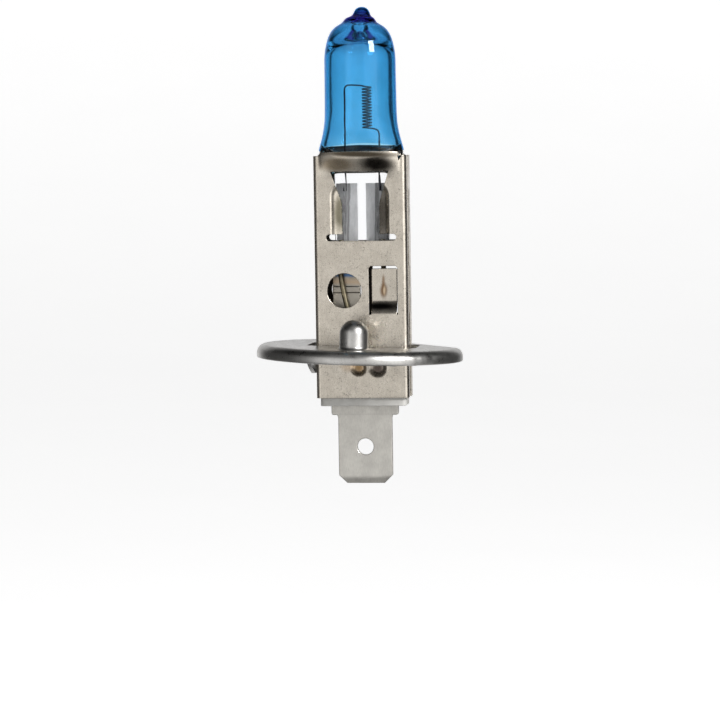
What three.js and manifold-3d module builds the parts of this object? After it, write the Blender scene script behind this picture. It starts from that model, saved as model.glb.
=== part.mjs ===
// A halogen headlight bulb with a single axial filament, a blue filter coating and a keyed flange.
// Millimetres, +Z up. The origin is where the lamp's axis meets the flange's upper face, which is the
// plane that seats in the reflector. +Z runs to the glass tip and -Y is the front, with the weld windows.
// The sleeve is welded into the flange a little off centre and off square, which brings the filament's
// coil close to the flange's axis.
import * as THREE from "three";
import { mergeVertices } from "three/addons/utils/BufferGeometryUtils.js";
import Module from "manifold-3d";

// ---- driving dimensions ----
const FLANGE_R = 12;
const FLANGE_SHEET = 0.5;
const RIM_DROP = 1.55;
const RIM_BEND = 1;
const FLAT_FROM_AXIS = 8.95;
const OPENING = { x: 0.4, width: 12.6, depth: 6.7, corner: 1.1 };
const TAB = { width: 2.13, pitch: 3.7, count: 3, sheet: 0.45, bend: 0.72, reach: 2.2 };
const SIDE_LIP = { sheet: 0.4, depth: 4.7, straight: 1.2, curl: 0.6, longReach: 3.2, shortReach: 2.1 };
const BOSS = { r: 1.66, height: 3.3, wall: 0.4, straight: 1.75 };
const BOSS_PLACES = [
  [0.1, -6.9],
  [-2.9, 7.3],
];

const BODY = { x: 0.47, lean: THREE.MathUtils.degToRad(2) };
const SLEEVE = { width: 10.8, depth: 4.6, sheet: 0.35, corner: 0.5, bottom: -6, top: 22 };
const SEAM = { fromFront: 1, bottomGap: 1.8, topGap: 0.6 };
const WINDOW = { top: 20.15, topHalf: 3.37, knee: 16.5, half: 2.15, bottom: 12.2 };
const FLAP = { hinge: 3.53, depth: 0.78, fullFrom: 17, flatFrom: 18.6 };
const SLOT = { x: 0.1, half: 4.07, height: 0.74 };
const ROUND_HOLE = { x: -1.95, z: 6.45, r: 2 };
const TONGUE_WINDOW = { x: 2.55, bottom: 3.65, top: 9.25, width: 3.35, corner: 0.25 };
const TONGUE = { shift: 0.07, width: 2.95, top: 8.95, depth: 0.85, ramp: 0.45 };
const COLLAR = { half: 4.7, bulge: 1.08, lip: 0.5 };
const CRIMP = { z: -2.6, r: 1.9, depth: 0.3, xs: [-0.38, 1.75], dimpleR: 1.02, dimple: 0.12 };

const COATING = 0.08;
const GAP = 0.02;
const WALL_FIT = 0.03;
const COATING_END = 22.75;
const PINCH = { halfWidth: 3.25, halfDepth: 1.1, bottom: 9.8 };
const TIP_OFFSET = 0.28;

const COIL = { x: 0.72, r: 0.5, turns: 14, bottom: 25.2, length: 4.7 };
const FILAMENT_WIRE_R = 0.1;
const LEG = { longX: -1.85, shortX: 2.1, y: -0.16, foot: 17.9, longTop: 30.12, shortTop: 24.8 };
const FOIL = { x: 1.67, width: 2.36, thick: 0.05, top: 18.8, bottom: 10.8 };
const PIN = { r: 0.3, x: 2.4, y: -0.36, top: 12.3, clear: 0.07 };

const BLADE = { width: 6.3, thick: 0.8, tip: -16.07, shoulder: -8.1, chamfer: 0.95, bevel: 0.2 };
const BLADE_SHOULDER = { width: 7.85, top: -2.2 };
const BLADE_HOLE = { z: -11.8, r: 0.95 };
const STRIP = { x: -1.95, width: 3.2, top: 8.6, ridgeZ: 6.5, ridge: 0.74, ridgeDepth: 0.12 };
const INSULATOR = { width: 10, depth: 3.7, corner: 0.45, bottom: -6.95, top: -0.8 };

const ROUND = 18; // sides of a round boss, hole or pin
const GLASS_SIDES = 24;

// ---- solids: three.js shapes, cut and joined by manifold ----
const wasm = await Module();
wasm.setup();

/** A closed geometry as a manifold solid, which can be cut and joined. */
function solid(geometry) {
  const bare = geometry.clone();
  bare.deleteAttribute("normal");
  bare.deleteAttribute("uv");
  const merged = mergeVertices(bare, 1e-4);
  return new wasm.Manifold(
    new wasm.Mesh({
      numProp: 3,
      vertProperties: merged.attributes.position.array,
      triVerts: new Uint32Array(merged.index.array),
    }),
  );
}

/** A manifold solid as a geometry with flat normals. */
function geometryOf(shape) {
  const made = shape.getMesh();
  const geometry = new THREE.BufferGeometry();
  geometry.setAttribute("position", new THREE.BufferAttribute(made.vertProperties, 3));
  geometry.setIndex(new THREE.BufferAttribute(made.triVerts, 1));
  geometry.computeVertexNormals();
  return geometry;
}

function joined(shapes) {
  return shapes.reduce((whole, next) => whole.add(next));
}

function smooth(t) {
  const held = Math.min(1, Math.max(0, t));
  return held * held * (3 - 2 * held);
}

/** A shape drawn in plan, extruded from z0 up to z1. */
function upright(shape, z0, z1, curveSegments = 6) {
  const geometry = new THREE.ExtrudeGeometry(shape, {
    depth: z1 - z0,
    bevelEnabled: false,
    curveSegments,
  });
  return solid(geometry.translate(0, 0, z0));
}

/** A shape drawn in X and Z, extruded from y0 to y1. */
function through(shape, y0, y1, curveSegments = 6) {
  const geometry = new THREE.ExtrudeGeometry(shape, {
    depth: y1 - y0,
    bevelEnabled: false,
    curveSegments,
  });
  return solid(geometry.rotateX(Math.PI / 2).translate(0, y1, 0));
}

function box(x0, x1, y0, y1, z0, z1) {
  const geometry = new THREE.BoxGeometry(x1 - x0, y1 - y0, z1 - z0);
  return solid(geometry.translate((x0 + x1) / 2, (y0 + y1) / 2, (z0 + z1) / 2));
}

function roundedRect(width, depth, corner, cx = 0, cy = 0) {
  const [w, d, r] = [width / 2, depth / 2, corner];
  const shape = new THREE.Shape();
  shape.absarc(cx + w - r, cy + d - r, r, 0, Math.PI / 2);
  shape.absarc(cx - w + r, cy + d - r, r, Math.PI / 2, Math.PI);
  shape.absarc(cx - w + r, cy - d + r, r, Math.PI, 1.5 * Math.PI);
  shape.absarc(cx + w - r, cy - d + r, r, 1.5 * Math.PI, 2 * Math.PI);
  shape.closePath();
  return shape;
}

function circle(x, y, r) {
  return new THREE.Shape().absarc(x, y, r, 0, 2 * Math.PI);
}

/** An upright rod of round section. */
function rod(x, y, r, z0, z1, sides = 10) {
  const geometry = new THREE.CylinderGeometry(r, r, z1 - z0, sides).rotateX(Math.PI / 2);
  return solid(geometry.translate(x, y, (z0 + z1) / 2));
}

/** A profile of [radius, z] turned about an upright axis; it starts and ends on the axis. */
function turned(profile, x = 0, y = 0, sides = ROUND) {
  const points = profile.map(([r, z]) => new THREE.Vector2(r, z));
  return solid(new THREE.LatheGeometry(points, sides).rotateX(Math.PI / 2).translate(x, y, 0));
}

/**
 * A bent plate: a subdivided slab whose corners are placed by a function of u (across), v (through the
 * sheet, 0 outside and 1 inside) and w (upwards), each from 0 to 1.
 */
function bentPlate(across, upwards, place) {
  const geometry = new THREE.BoxGeometry(1, 1, 1, across, 1, upwards);
  const at = geometry.attributes.position;
  for (let i = 0; i < at.count; i++) {
    const [x, y, z] = place(at.getX(i) + 0.5, at.getY(i) + 0.5, at.getZ(i) + 0.5);
    at.setXYZ(i, x, y, z);
  }
  return solid(geometry);
}

/** The same solid on the back wall, turned half round the lamp's axis. */
function onBack(shape) {
  return shape.rotate([0, 0, 180]);
}

/** A round wire along a curve. */
function wire(curve, r, steps, sides) {
  const section = new THREE.Shape(
    Array.from({ length: sides }, (_, i) => {
      const a = (2 * Math.PI * i) / sides;
      return new THREE.Vector2(r * Math.cos(a), r * Math.sin(a));
    }),
  );
  return new THREE.ExtrudeGeometry(section, { steps, extrudePath: curve, bevelEnabled: false });
}

// ---- the flange: a dished disc with a flat, two keying bosses, six weld tabs and two side lips ----
function flangeOutline(inset) {
  const r = FLANGE_R - inset;
  const reach = Math.acos((FLAT_FROM_AXIS - inset) / r);
  const shape = new THREE.Shape();
  shape.absarc(0, 0, r, Math.PI / 4 + reach, Math.PI / 4 - reach + 2 * Math.PI);
  shape.closePath();
  return shape;
}

/** The outline as a solid whose upper edge is rounded by bend. */
function roundedDisc(inset, bend, top, bottom) {
  const geometry = new THREE.ExtrudeGeometry(flangeOutline(inset + bend), {
    depth: top - bottom,
    bevelThickness: bend,
    bevelSize: bend,
    bevelSegments: 3,
    curveSegments: 36,
  });
  const blank = solid(geometry.translate(0, 0, bottom - bend));
  return blank.intersect(box(-20, 20, -20, 20, bottom, top + 1));
}

function bossProfile(r, straight, height, from) {
  const dome = height - straight;
  const arc = [0, 0.25, 0.5, 0.75].map((t) => {
    const a = (t * Math.PI) / 2;
    return [r * Math.cos(a), straight + dome * Math.sin(a)];
  });
  return [[0, from], [r, from], ...arc, [0, height]];
}

/** One tab of the front row: it leaves the opening's edge, bends down and lies along the sleeve. */
function weldTab(x) {
  const inner = -(SLEEVE.depth / 2 + GAP * 2);
  const pivot = inner - TAB.bend;
  const half = TAB.width / 2;
  const bend = new THREE.Shape();
  const root = -OPENING.depth / 2 - 0.1;
  bend.moveTo(root, 0);
  bend.absarc(pivot, -TAB.bend, TAB.bend, Math.PI / 2, 0, true);
  bend.absarc(pivot, -TAB.bend, TAB.bend - TAB.sheet, 0, Math.PI / 2, false);
  bend.lineTo(root, -TAB.sheet);
  bend.closePath();
  const geometry = new THREE.ExtrudeGeometry(bend, {
    depth: TAB.width,
    bevelEnabled: false,
    curveSegments: 4,
  });
  // Drawn in Y and Z and extruded along X.
  geometry.applyMatrix4(
    new THREE.Matrix4().makeBasis(
      new THREE.Vector3(0, 1, 0),
      new THREE.Vector3(0, 0, 1),
      new THREE.Vector3(1, 0, 0),
    ),
  );
  const leg = new THREE.Shape();
  const round = TAB.reach - half * 0.7;
  leg.moveTo(x - half, -TAB.bend);
  leg.lineTo(x - half, -round);
  leg.absellipse(x, -round, half, half * 0.7, Math.PI, 2 * Math.PI);
  leg.lineTo(x + half, -TAB.bend);
  leg.closePath();
  return solid(geometry.translate(x - half, 0, 0)).add(through(leg, inner - TAB.sheet, inner, 5));
}

/** The lip of one short side: it leaves the opening's edge, drops and curls in beside the sleeve. */
function sideLip(side, reach, curl) {
  const edge = OPENING.width / 2;
  const half = SIDE_LIP.sheet / 2;
  const low = -0.75 * reach;
  const at = (out) => OPENING.x + side * out;
  const shape = new THREE.Shape();
  shape.moveTo(at(edge + half), -0.1);
  shape.lineTo(at(edge + half), -SIDE_LIP.straight);
  shape.quadraticCurveTo(at(edge + half), low, at(edge + half - curl), -reach);
  shape.lineTo(at(edge - half - curl), -reach);
  shape.quadraticCurveTo(at(edge - half), low, at(edge - half), -SIDE_LIP.straight);
  shape.lineTo(at(edge - half), -0.1);
  shape.closePath();
  return through(shape, -SIDE_LIP.depth / 2, SIDE_LIP.depth / 2, 4);
}

function flange() {
  const dish = roundedDisc(FLANGE_SHEET, RIM_BEND - FLANGE_SHEET, -FLANGE_SHEET, -RIM_DROP - 1);
  const tabs = Array.from({ length: TAB.count }, (_, i) =>
    weldTab(OPENING.x + (i - (TAB.count - 1) / 2) * TAB.pitch),
  );
  const backTabs = tabs.map((tab) => tab.mirror([0, 1, 0]));
  const opening = roundedRect(OPENING.width, OPENING.depth, OPENING.corner, OPENING.x, 0);
  const pressed = BOSS_PLACES.map(([x, y]) =>
    turned(bossProfile(BOSS.r, BOSS.straight, BOSS.height, -FLANGE_SHEET), x, y),
  );
  const hollows = BOSS_PLACES.map(([x, y]) =>
    turned(
      bossProfile(BOSS.r - BOSS.wall, BOSS.straight, BOSS.height - BOSS.wall, -RIM_DROP),
      x,
      y,
    ),
  );
  const plate = roundedDisc(0, RIM_BEND, 0, -RIM_DROP)
    .subtract(dish)
    .subtract(upright(opening, -3, 3));
  const lips = [
    sideLip(-1, SIDE_LIP.longReach, SIDE_LIP.curl),
    sideLip(1, SIDE_LIP.shortReach, SIDE_LIP.curl / 4),
  ];
  return joined([plate, ...pressed, ...tabs, ...backTabs, ...lips]).subtract(joined(hollows));
}

// ---- the sleeve: one sheet wrapped into a box, with spring flaps that grip the pinch ----
const FRONT = -SLEEVE.depth / 2;

/** Half the window's width at a height: it narrows from its top to the knee. */
function windowHalf(z) {
  const t = Math.max(0, (z - WINDOW.knee) / (WINDOW.top - WINDOW.knee));
  return WINDOW.half + (WINDOW.topHalf - WINDOW.half) * t;
}

function springFlap(side) {
  const bottom = WINDOW.bottom + SLOT.height;
  return bentPlate(5, 7, (u, v, w) => {
    const z = bottom + (WINDOW.top + 0.1 - bottom) * w;
    const hinge = FLAP.hinge + 0.1;
    const out = side < 0 ? u : 1 - u;
    const x = hinge + (windowHalf(z) - hinge) * out;
    const sunk = smooth((FLAP.flatFrom - z) / (FLAP.flatFrom - FLAP.fullFrom));
    const y = FRONT + FLAP.depth * sunk * smooth(out * 1.15 - 0.08) + SLEEVE.sheet * v;
    return [side * x, y, z];
  });
}

/** The band above the window, pressed out round the glass, with a flared lip. */
function collar() {
  const top = SLEEVE.top + COLLAR.lip;
  return bentPlate(14, 4, (u, v, w) => {
    const x = (2 * u - 1) * (COLLAR.half + 0.1);
    const z0 = WINDOW.top;
    const round = Math.max(0, 1 - (x / COLLAR.half) ** 2);
    const crown = SLEEVE.top + (top - SLEEVE.top) * Math.min(1, 4 * round);
    const z = z0 + (crown - z0) * w;
    const rise = Math.min(1, (z - z0) / (SLEEVE.top - z0));
    return [x, FRONT - COLLAR.bulge * round * rise + SLEEVE.sheet * v, z];
  });
}

/** The ground tongue: lanced on three sides, hinged at its foot and pushed in to the lead. */
function tongue() {
  const foot = TONGUE_WINDOW.bottom - 0.1;
  return bentPlate(1, 9, (u, v, w) => {
    const pushed = TONGUE.depth * smooth((w - 0.03) / TONGUE.ramp);
    const x = TONGUE_WINDOW.x + TONGUE.shift + (u - 0.5) * TONGUE.width;
    return [x, FRONT + pushed + SLEEVE.sheet * v, foot + (TONGUE.top - foot) * w];
  });
}

function windowShape() {
  const shape = new THREE.Shape();
  const above = SLEEVE.top + 1;
  shape.moveTo(-FLAP.hinge, WINDOW.bottom + SLOT.height);
  shape.lineTo(-FLAP.hinge, WINDOW.top);
  shape.lineTo(-COLLAR.half, WINDOW.top);
  shape.lineTo(-COLLAR.half, above);
  shape.lineTo(COLLAR.half, above);
  shape.lineTo(COLLAR.half, WINDOW.top);
  shape.lineTo(FLAP.hinge, WINDOW.top);
  shape.lineTo(FLAP.hinge, WINDOW.bottom + SLOT.height);
  shape.closePath();
  return shape;
}

/** The wedge-shaped gap left where the sheet's two edges meet, on the right wall. */
function seamGap() {
  const front = FRONT + SEAM.fromFront;
  const shape = new THREE.Shape();
  shape.moveTo(front, SLEEVE.bottom - 1);
  shape.lineTo(front + SEAM.bottomGap, SLEEVE.bottom - 1);
  shape.lineTo(front + SEAM.topGap, SLEEVE.top + 1);
  shape.lineTo(front, SLEEVE.top + 1);
  shape.closePath();
  const geometry = new THREE.ExtrudeGeometry(shape, { depth: 2, bevelEnabled: false });
  geometry.applyMatrix4(
    new THREE.Matrix4().makeBasis(
      new THREE.Vector3(0, 1, 0),
      new THREE.Vector3(0, 0, 1),
      new THREE.Vector3(1, 0, 0),
    ),
  );
  return solid(geometry.translate(SLEEVE.width / 2 - 1, 0, 0));
}

/** A shallow round cap, used for the crimps that hold the insulator and for the weld dimples. */
function cap(x, z, r, depth, outer) {
  const ball = (r * r + depth * depth) / (2 * depth);
  const geometry = new THREE.SphereGeometry(ball, 40, 24);
  const whole = solid(geometry.translate(x, outer - ball + depth, z));
  return whole.intersect(box(x - r, x + r, outer, outer + 2 * depth, z - r, z + r));
}

function sleeve() {
  const { width, depth, sheet, corner, bottom, top } = SLEEVE;
  const wall = roundedRect(width, depth, corner);
  wall.holes.push(roundedRect(width - 2 * sheet, depth - 2 * sheet, 0.1));
  const window = windowShape();
  const slot = roundedRect(
    2 * SLOT.half,
    SLOT.height,
    SLOT.height / 2 - 0.01,
    SLOT.x,
    WINDOW.bottom + SLOT.height / 2,
  );
  const front = FRONT - 1;
  const inside = FRONT + sheet + 0.6;
  const cutFront = joined([through(window, front, inside), through(slot, front, inside, 5)]);
  const access = [
    through(circle(ROUND_HOLE.x, ROUND_HOLE.z, ROUND_HOLE.r), front, inside, 18),
    through(circle(ROUND_HOLE.x, ROUND_HOLE.z, ROUND_HOLE.r), -inside, -front, 18),
  ];
  const tongueHeight = TONGUE_WINDOW.top - TONGUE_WINDOW.bottom;
  const tongueMiddle = (TONGUE_WINDOW.top + TONGUE_WINDOW.bottom) / 2;
  const tongueCut = roundedRect(
    TONGUE_WINDOW.width,
    tongueHeight,
    TONGUE_WINDOW.corner,
    TONGUE_WINDOW.x,
    tongueMiddle,
  );
  const cuts = [
    cutFront,
    onBack(cutFront),
    ...access,
    through(tongueCut, front, inside, 3),
    through(tongueCut, -inside, -front, 3),
    seamGap(),
  ];
  const grips = [springFlap(-1), springFlap(1), collar()];
  const crimp = cap(0, CRIMP.z, CRIMP.r, CRIMP.depth, FRONT + sheet - 0.01);
  const dents = CRIMP.xs.map((x) => cap(x, CRIMP.z, CRIMP.dimpleR, CRIMP.dimple, FRONT));
  const pressed = joined([...grips, ...grips.map(onBack), tongue(), crimp, onBack(crimp)]);
  return upright(wall, bottom, top, 3)
    .subtract(joined(cuts))
    .add(pressed)
    .subtract(joined(dents));
}

// ---- the glass: a round bulb that flattens into a pinch, and its filter coating ----
// Each section is [z, half width, half depth, squareness, sideways shift].
const PINCH_TOP = 19.2;
const OUTER = [
  [39.1, 0, 0, 2, TIP_OFFSET],
  [38.93, 0.58, 0.58, 2, TIP_OFFSET],
  [38.62, 0.85, 0.85, 2, TIP_OFFSET],
  [38.15, 1.08, 1.08, 2, TIP_OFFSET],
  [37.85, 1.54, 1.54, 2, TIP_OFFSET / 3],
  [37.4, 1.95, 1.95, 2, 0],
  [36.86, 2.75, 2.75, 2, 0],
  [36.3, 3.3, 3.3, 2, 0],
  [35.5, 3.68, 3.68, 2, 0],
  [34.3, 3.98, 3.98, 2, 0],
  [33, 4.12, 4.12, 2, 0],
  [30, 4.14, 4.14, 2, 0],
  [26.4, 4.2, 4.14, 2, 0],
  [25, 4.36, 3.98, 2.05, 0],
  [24, 4.58, 3.72, 2.1, 0],
  [23, 4.86, 3.36, 2.2, 0],
  [22.3, 4.98, 3.05, 2.4, 0],
  [21.8, 4.8, 2.72, 2.6, 0],
  [21.3, 4.4, 2.2, 3, 0],
  [20.85, 3.95, 1.62, 4, 0],
  [20.45, 3.55, 1.22, 5.5, 0],
  [20, PINCH.halfWidth + 0.08, PINCH.halfDepth + 0.01, 6.5, 0],
  [PINCH_TOP, PINCH.halfWidth, PINCH.halfDepth, 7, 0],
  [PINCH.bottom, PINCH.halfWidth, PINCH.halfDepth, 7, 0],
  [PINCH.bottom, 0, 0, 7, 0],
];
const CAVITY = [
  [37.3, 0, 0, 2, 0.2],
  [37.1, 0.45, 0.45, 2, 0.2],
  [36.6, 0.72, 0.72, 2, 0.1],
  [36.1, 0.55, 0.55, 2, 0],
  [35.6, 0.7, 0.7, 2, 0],
  [35.2, 1.4, 1.4, 2, 0],
  [34.8, 2.3, 2.3, 2, 0],
  [34.2, 3, 3, 2, 0],
  [33.2, 3.34, 3.34, 2, 0],
  [27, 3.4, 3.38, 2, 0],
  [25, 3.6, 3.2, 2, 0],
  [23.6, 3.9, 2.75, 2, 0],
  [22.9, 3.95, 2.3, 2.1, 0],
  [22.35, 3.6, 1.8, 2.2, 0],
  [21.95, 2.9, 1.2, 2.3, 0],
  [21.7, 0, 0, 2.3, 0],
];

/** A solid through a stack of superellipse sections, given from the top down. */
function loft(sections, sides) {
  const rings = [...sections].reverse();
  const spine = rings.map(([z]) => new THREE.Vector2(1, z));
  const geometry = new THREE.LatheGeometry(spine, sides);
  const at = geometry.attributes.position;
  const bowed = (value, n) => Math.sign(value) * Math.abs(value) ** (2 / n);
  for (let i = 0; i <= sides; i++) {
    const angle = (2 * Math.PI * (i % sides)) / sides;
    rings.forEach(([z, halfWidth, halfDepth, n, shift], j) => {
      const x = shift + halfWidth * bowed(Math.cos(angle), n);
      at.setXYZ(i * rings.length + j, x, halfDepth * bowed(Math.sin(angle), n), z);
    });
  }
  return solid(geometry);
}

/** The outer sections moved inwards along their own slope, to make room for a layer over them. */
function inset(sections, by) {
  return sections.map(([z, halfWidth, halfDepth, n, shift], i) => {
    const above = sections[Math.max(0, i - 1)];
    const below = sections[Math.min(sections.length - 1, i + 1)];
    const run = new THREE.Vector2(below[1] - above[1], below[0] - above[0]).normalize();
    const lower = z > PINCH_TOP ? Math.max(0, run.x) : 0;
    const side = halfWidth ? by * Math.abs(run.y) : 0;
    return [
      z - by * (halfWidth ? lower : 1),
      Math.max(0, halfWidth - side),
      Math.max(0, halfDepth - side),
      n,
      shift,
    ];
  });
}

function coating() {
  const film = loft(OUTER, GLASS_SIDES).subtract(loft(inset(OUTER, COATING), GLASS_SIDES));
  return film.intersect(box(-8, 8, -8, 8, COATING_END, 45));
}

function envelope() {
  const body = loft(inset(OUTER, COATING + GAP), GLASS_SIDES);
  const legRoom = [LEG.longX, LEG.shortX].map((x) =>
    rod(x, LEG.y, FILAMENT_WIRE_R + WALL_FIT, LEG.foot - 0.1, 22.6, 8),
  );
  const sides = [-1, 1];
  const foilRoom = sides.map((side) =>
    box(
      side * FOIL.x - FOIL.width / 2 - WALL_FIT,
      side * FOIL.x + FOIL.width / 2 + WALL_FIT,
      -FOIL.thick / 2 - WALL_FIT,
      FOIL.thick / 2 + WALL_FIT,
      FOIL.bottom - WALL_FIT,
      FOIL.top + WALL_FIT,
    ),
  );
  const pinRoom = sides.map((side) =>
    rod(side * PIN.x, PIN.y, PIN.r + WALL_FIT, PINCH.bottom - 1, PIN.top + 0.05, 12),
  );
  return body.subtract(joined([loft(CAVITY, GLASS_SIDES), ...legRoom, ...foilRoom, ...pinRoom]));
}

// ---- the current path: filament with its legs, foils, leads and contact blade ----
/** The tungsten wire: up the long leg, over to the coil's top, down the turns and into the short leg. */
function filamentCurve() {
  const { x, r, turns, bottom, length } = COIL;
  const v = (a, b, c) => new THREE.Vector3(a, b, c);
  const points = [
    v(LEG.longX, LEG.y, LEG.foot),
    v(LEG.longX, LEG.y, 20),
    v(LEG.longX, LEG.y, 23),
    v(LEG.longX, LEG.y, 26),
    v(LEG.longX, LEG.y, 29.3),
    v(LEG.longX + 0.17, LEG.y - 0.04, LEG.longTop - 0.17),
    v(LEG.longX + 0.65, LEG.y - 0.1, LEG.longTop),
    v(-0.2, -0.36, LEG.longTop - 0.03),
  ];
  const perTurn = 10;
  for (let i = 0; i <= turns * perTurn; i++) {
    const angle = (2 * Math.PI * i) / perTurn - 0.5 * Math.PI;
    points.push(
      v(x + r * Math.cos(angle), r * Math.sin(angle), bottom + length * (1 - i / (turns * perTurn))),
    );
  }
  points.push(v(1.5, -0.32, 24.85), v(1.96, LEG.y, 24.72), v(LEG.shortX, LEG.y, 24.35));
  points.push(v(LEG.shortX, LEG.y, 22.6), v(LEG.shortX, LEG.y, 20.4), v(LEG.shortX, LEG.y, LEG.foot));
  return new THREE.CatmullRomCurve3(points, false, "centripetal");
}

function foil(side) {
  const geometry = new THREE.BoxGeometry(FOIL.width, FOIL.thick, FOIL.top - FOIL.bottom);
  return geometry.translate(side * FOIL.x, 0, (FOIL.top + FOIL.bottom) / 2);
}

/** A lead out of the pinch: straight in the glass, then set forward and over to what it is welded to. */
function leadCurve(points) {
  return new THREE.CatmullRomCurve3(
    points.map(([x, y, z]) => new THREE.Vector3(x, y, z)),
    false,
    "centripetal",
  );
}

function liveLead() {
  const front = -BLADE.thick / 2 - STRIP.ridgeDepth - PIN.r - PIN.clear;
  const curve = leadCurve([
    [-PIN.x, PIN.y, PIN.top],
    [-PIN.x, PIN.y, 11],
    [-PIN.x, PIN.y, 9.75],
    [-PIN.x, (PIN.y + front) / 2, 9.3],
    [-2.55, front, 8.8],
    [-2.28, front, 6.6],
    [-1.8, front, 4.4],
  ]);
  return wire(curve, PIN.r, 16, 10);
}

function groundLead() {
  const behind = FRONT + TONGUE.depth + SLEEVE.sheet + PIN.r + PIN.clear;
  const curve = leadCurve([
    [PIN.x, PIN.y, PIN.top],
    [PIN.x, PIN.y, 11],
    [PIN.x, PIN.y, 9.8],
    [PIN.x + 0.05, (PIN.y + behind) / 2, 9.2],
    [PIN.x + 0.1, behind, 8.5],
    [PIN.x + 0.1, behind, 5.9],
  ]);
  return wire(curve, PIN.r, 14, 10);
}

function contactBlade() {
  const { width, thick, tip, shoulder, chamfer, bevel } = BLADE;
  const half = width / 2;
  const wide = BLADE_SHOULDER.width / 2;
  const strip = STRIP.x - STRIP.width / 2;
  const outline = new THREE.Shape();
  outline.moveTo(-half + chamfer, tip);
  outline.lineTo(half - chamfer, tip);
  outline.lineTo(half, tip + chamfer);
  outline.lineTo(half, shoulder);
  outline.lineTo(wide, shoulder);
  outline.lineTo(wide, BLADE_SHOULDER.top);
  outline.lineTo(strip + STRIP.width, BLADE_SHOULDER.top);
  outline.lineTo(strip + STRIP.width, STRIP.top);
  outline.lineTo(strip, STRIP.top);
  outline.lineTo(strip, BLADE_SHOULDER.top);
  outline.lineTo(-wide, BLADE_SHOULDER.top);
  outline.lineTo(-wide, shoulder);
  outline.lineTo(-half, shoulder);
  outline.lineTo(-half, tip + chamfer);
  outline.closePath();
  const hole = through(circle(0, BLADE_HOLE.z, BLADE_HOLE.r), -2, 2, 12);
  const ridge = box(
    strip + 0.1,
    strip + STRIP.width - 0.1,
    -thick / 2 - STRIP.ridgeDepth,
    0,
    STRIP.ridgeZ - STRIP.ridge / 2,
    STRIP.ridgeZ + STRIP.ridge / 2,
  );
  // The tip loses a small wedge on both faces, which leads it into the connector.
  const wedge = box(-12, 12, 0, bevel * 2, -bevel, bevel * 2);
  const lead = (face) =>
    wedge
      .rotate([face * 45, 0, 0])
      .translate([0, face * (thick / 2 + bevel * 0.7) - (face < 0 ? bevel : 0), tip - bevel * 0.2]);
  return through(outline, -thick / 2, thick / 2)
    .add(ridge)
    .subtract(joined([hole, lead(1), lead(-1)]));
}

function insulator() {
  const { width, depth, corner, bottom, top } = INSULATOR;
  const block = upright(roundedRect(width, depth, corner), bottom, top, 4);
  const slotWidth = BLADE_SHOULDER.width + 0.12;
  const slot = box(
    -slotWidth / 2,
    slotWidth / 2,
    -BLADE.thick / 2 - 0.06,
    BLADE.thick / 2 + 0.06,
    bottom - 1,
    top + 1,
  );
  const pocket = cap(0, CRIMP.z, CRIMP.r + 0.25, CRIMP.depth + 0.1, -depth / 2);
  return block.subtract(joined([slot, pocket, onBack(pocket)]));
}

// ---- materials and assembly ----
const steel = { color: 0xb9b4a9, roughness: 0.38, metalness: 1 };
const MATERIALS = {
  flange: { color: 0xa9a8a6, roughness: 0.32, metalness: 1 },
  sleeve: steel,
  insulator: { color: 0xe9e7e0, roughness: 0.6, metalness: 0 },
  blade: { color: 0xb4b2aa, roughness: 0.42, metalness: 1 },
  glass: { color: 0xf4f8fa, roughness: 0.03, metalness: 0, transparent: true, opacity: 0.3 },
  coating: { color: 0x2f86c9, roughness: 0.03, metalness: 0, transparent: true, opacity: 0.6 },
  tungsten: { color: 0x4c4e54, roughness: 0.45, metalness: 1 },
  molybdenum: { color: 0x8b8f93, roughness: 0.4, metalness: 1 },
};

function piece(name, shape, look) {
  const geometry = shape.isBufferGeometry ? shape : geometryOf(shape);
  const mesh = new THREE.Mesh(geometry, new THREE.MeshStandardMaterial(MATERIALS[look]));
  mesh.name = name;
  return mesh;
}

const bulb = new THREE.Group();
const body = new THREE.Group();
body.position.x = BODY.x;
body.rotation.y = -BODY.lean;
body.add(
  piece("glass_envelope", envelope(), "glass"),
  piece("blue_filter_coating", coating(), "coating"),
  piece("filament", wire(filamentCurve(), FILAMENT_WIRE_R, 215, 6), "tungsten"),
  piece("foil_live", foil(-1), "molybdenum"),
  piece("foil_ground", foil(1), "molybdenum"),
  piece("lead_live", liveLead(), "molybdenum"),
  piece("lead_ground", groundLead(), "molybdenum"),
  piece("sleeve", sleeve(), "sleeve"),
  piece("insulator", insulator(), "insulator"),
  piece("contact_blade", contactBlade(), "blade"),
);
bulb.add(body, piece("flange", flange(), "flange"));

export default bulb;
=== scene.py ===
"""A blue-coated halogen headlight bulb, in metres, in the CAD frame: the origin is where the lamp's axis
meets the flange's upper face, +Z runs to the glass tip and -Y is the front. Shapes are in millimetres."""
import math

import bmesh
import bpy
import mathutils
from mathutils import Matrix, Quaternion, Vector


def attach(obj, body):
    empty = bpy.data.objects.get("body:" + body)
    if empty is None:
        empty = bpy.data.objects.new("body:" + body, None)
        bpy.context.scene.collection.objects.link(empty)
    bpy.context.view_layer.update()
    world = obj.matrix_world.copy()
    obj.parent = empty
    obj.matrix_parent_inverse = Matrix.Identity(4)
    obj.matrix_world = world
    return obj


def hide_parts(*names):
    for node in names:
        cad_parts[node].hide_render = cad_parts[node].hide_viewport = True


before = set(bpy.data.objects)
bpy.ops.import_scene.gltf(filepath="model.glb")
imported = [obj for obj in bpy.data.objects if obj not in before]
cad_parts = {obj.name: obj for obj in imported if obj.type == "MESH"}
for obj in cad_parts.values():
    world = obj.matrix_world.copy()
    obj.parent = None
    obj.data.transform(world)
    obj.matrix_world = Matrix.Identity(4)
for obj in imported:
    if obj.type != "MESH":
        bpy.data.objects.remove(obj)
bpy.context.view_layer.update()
MM = 0.001
TAU = 2 * math.pi

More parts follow.
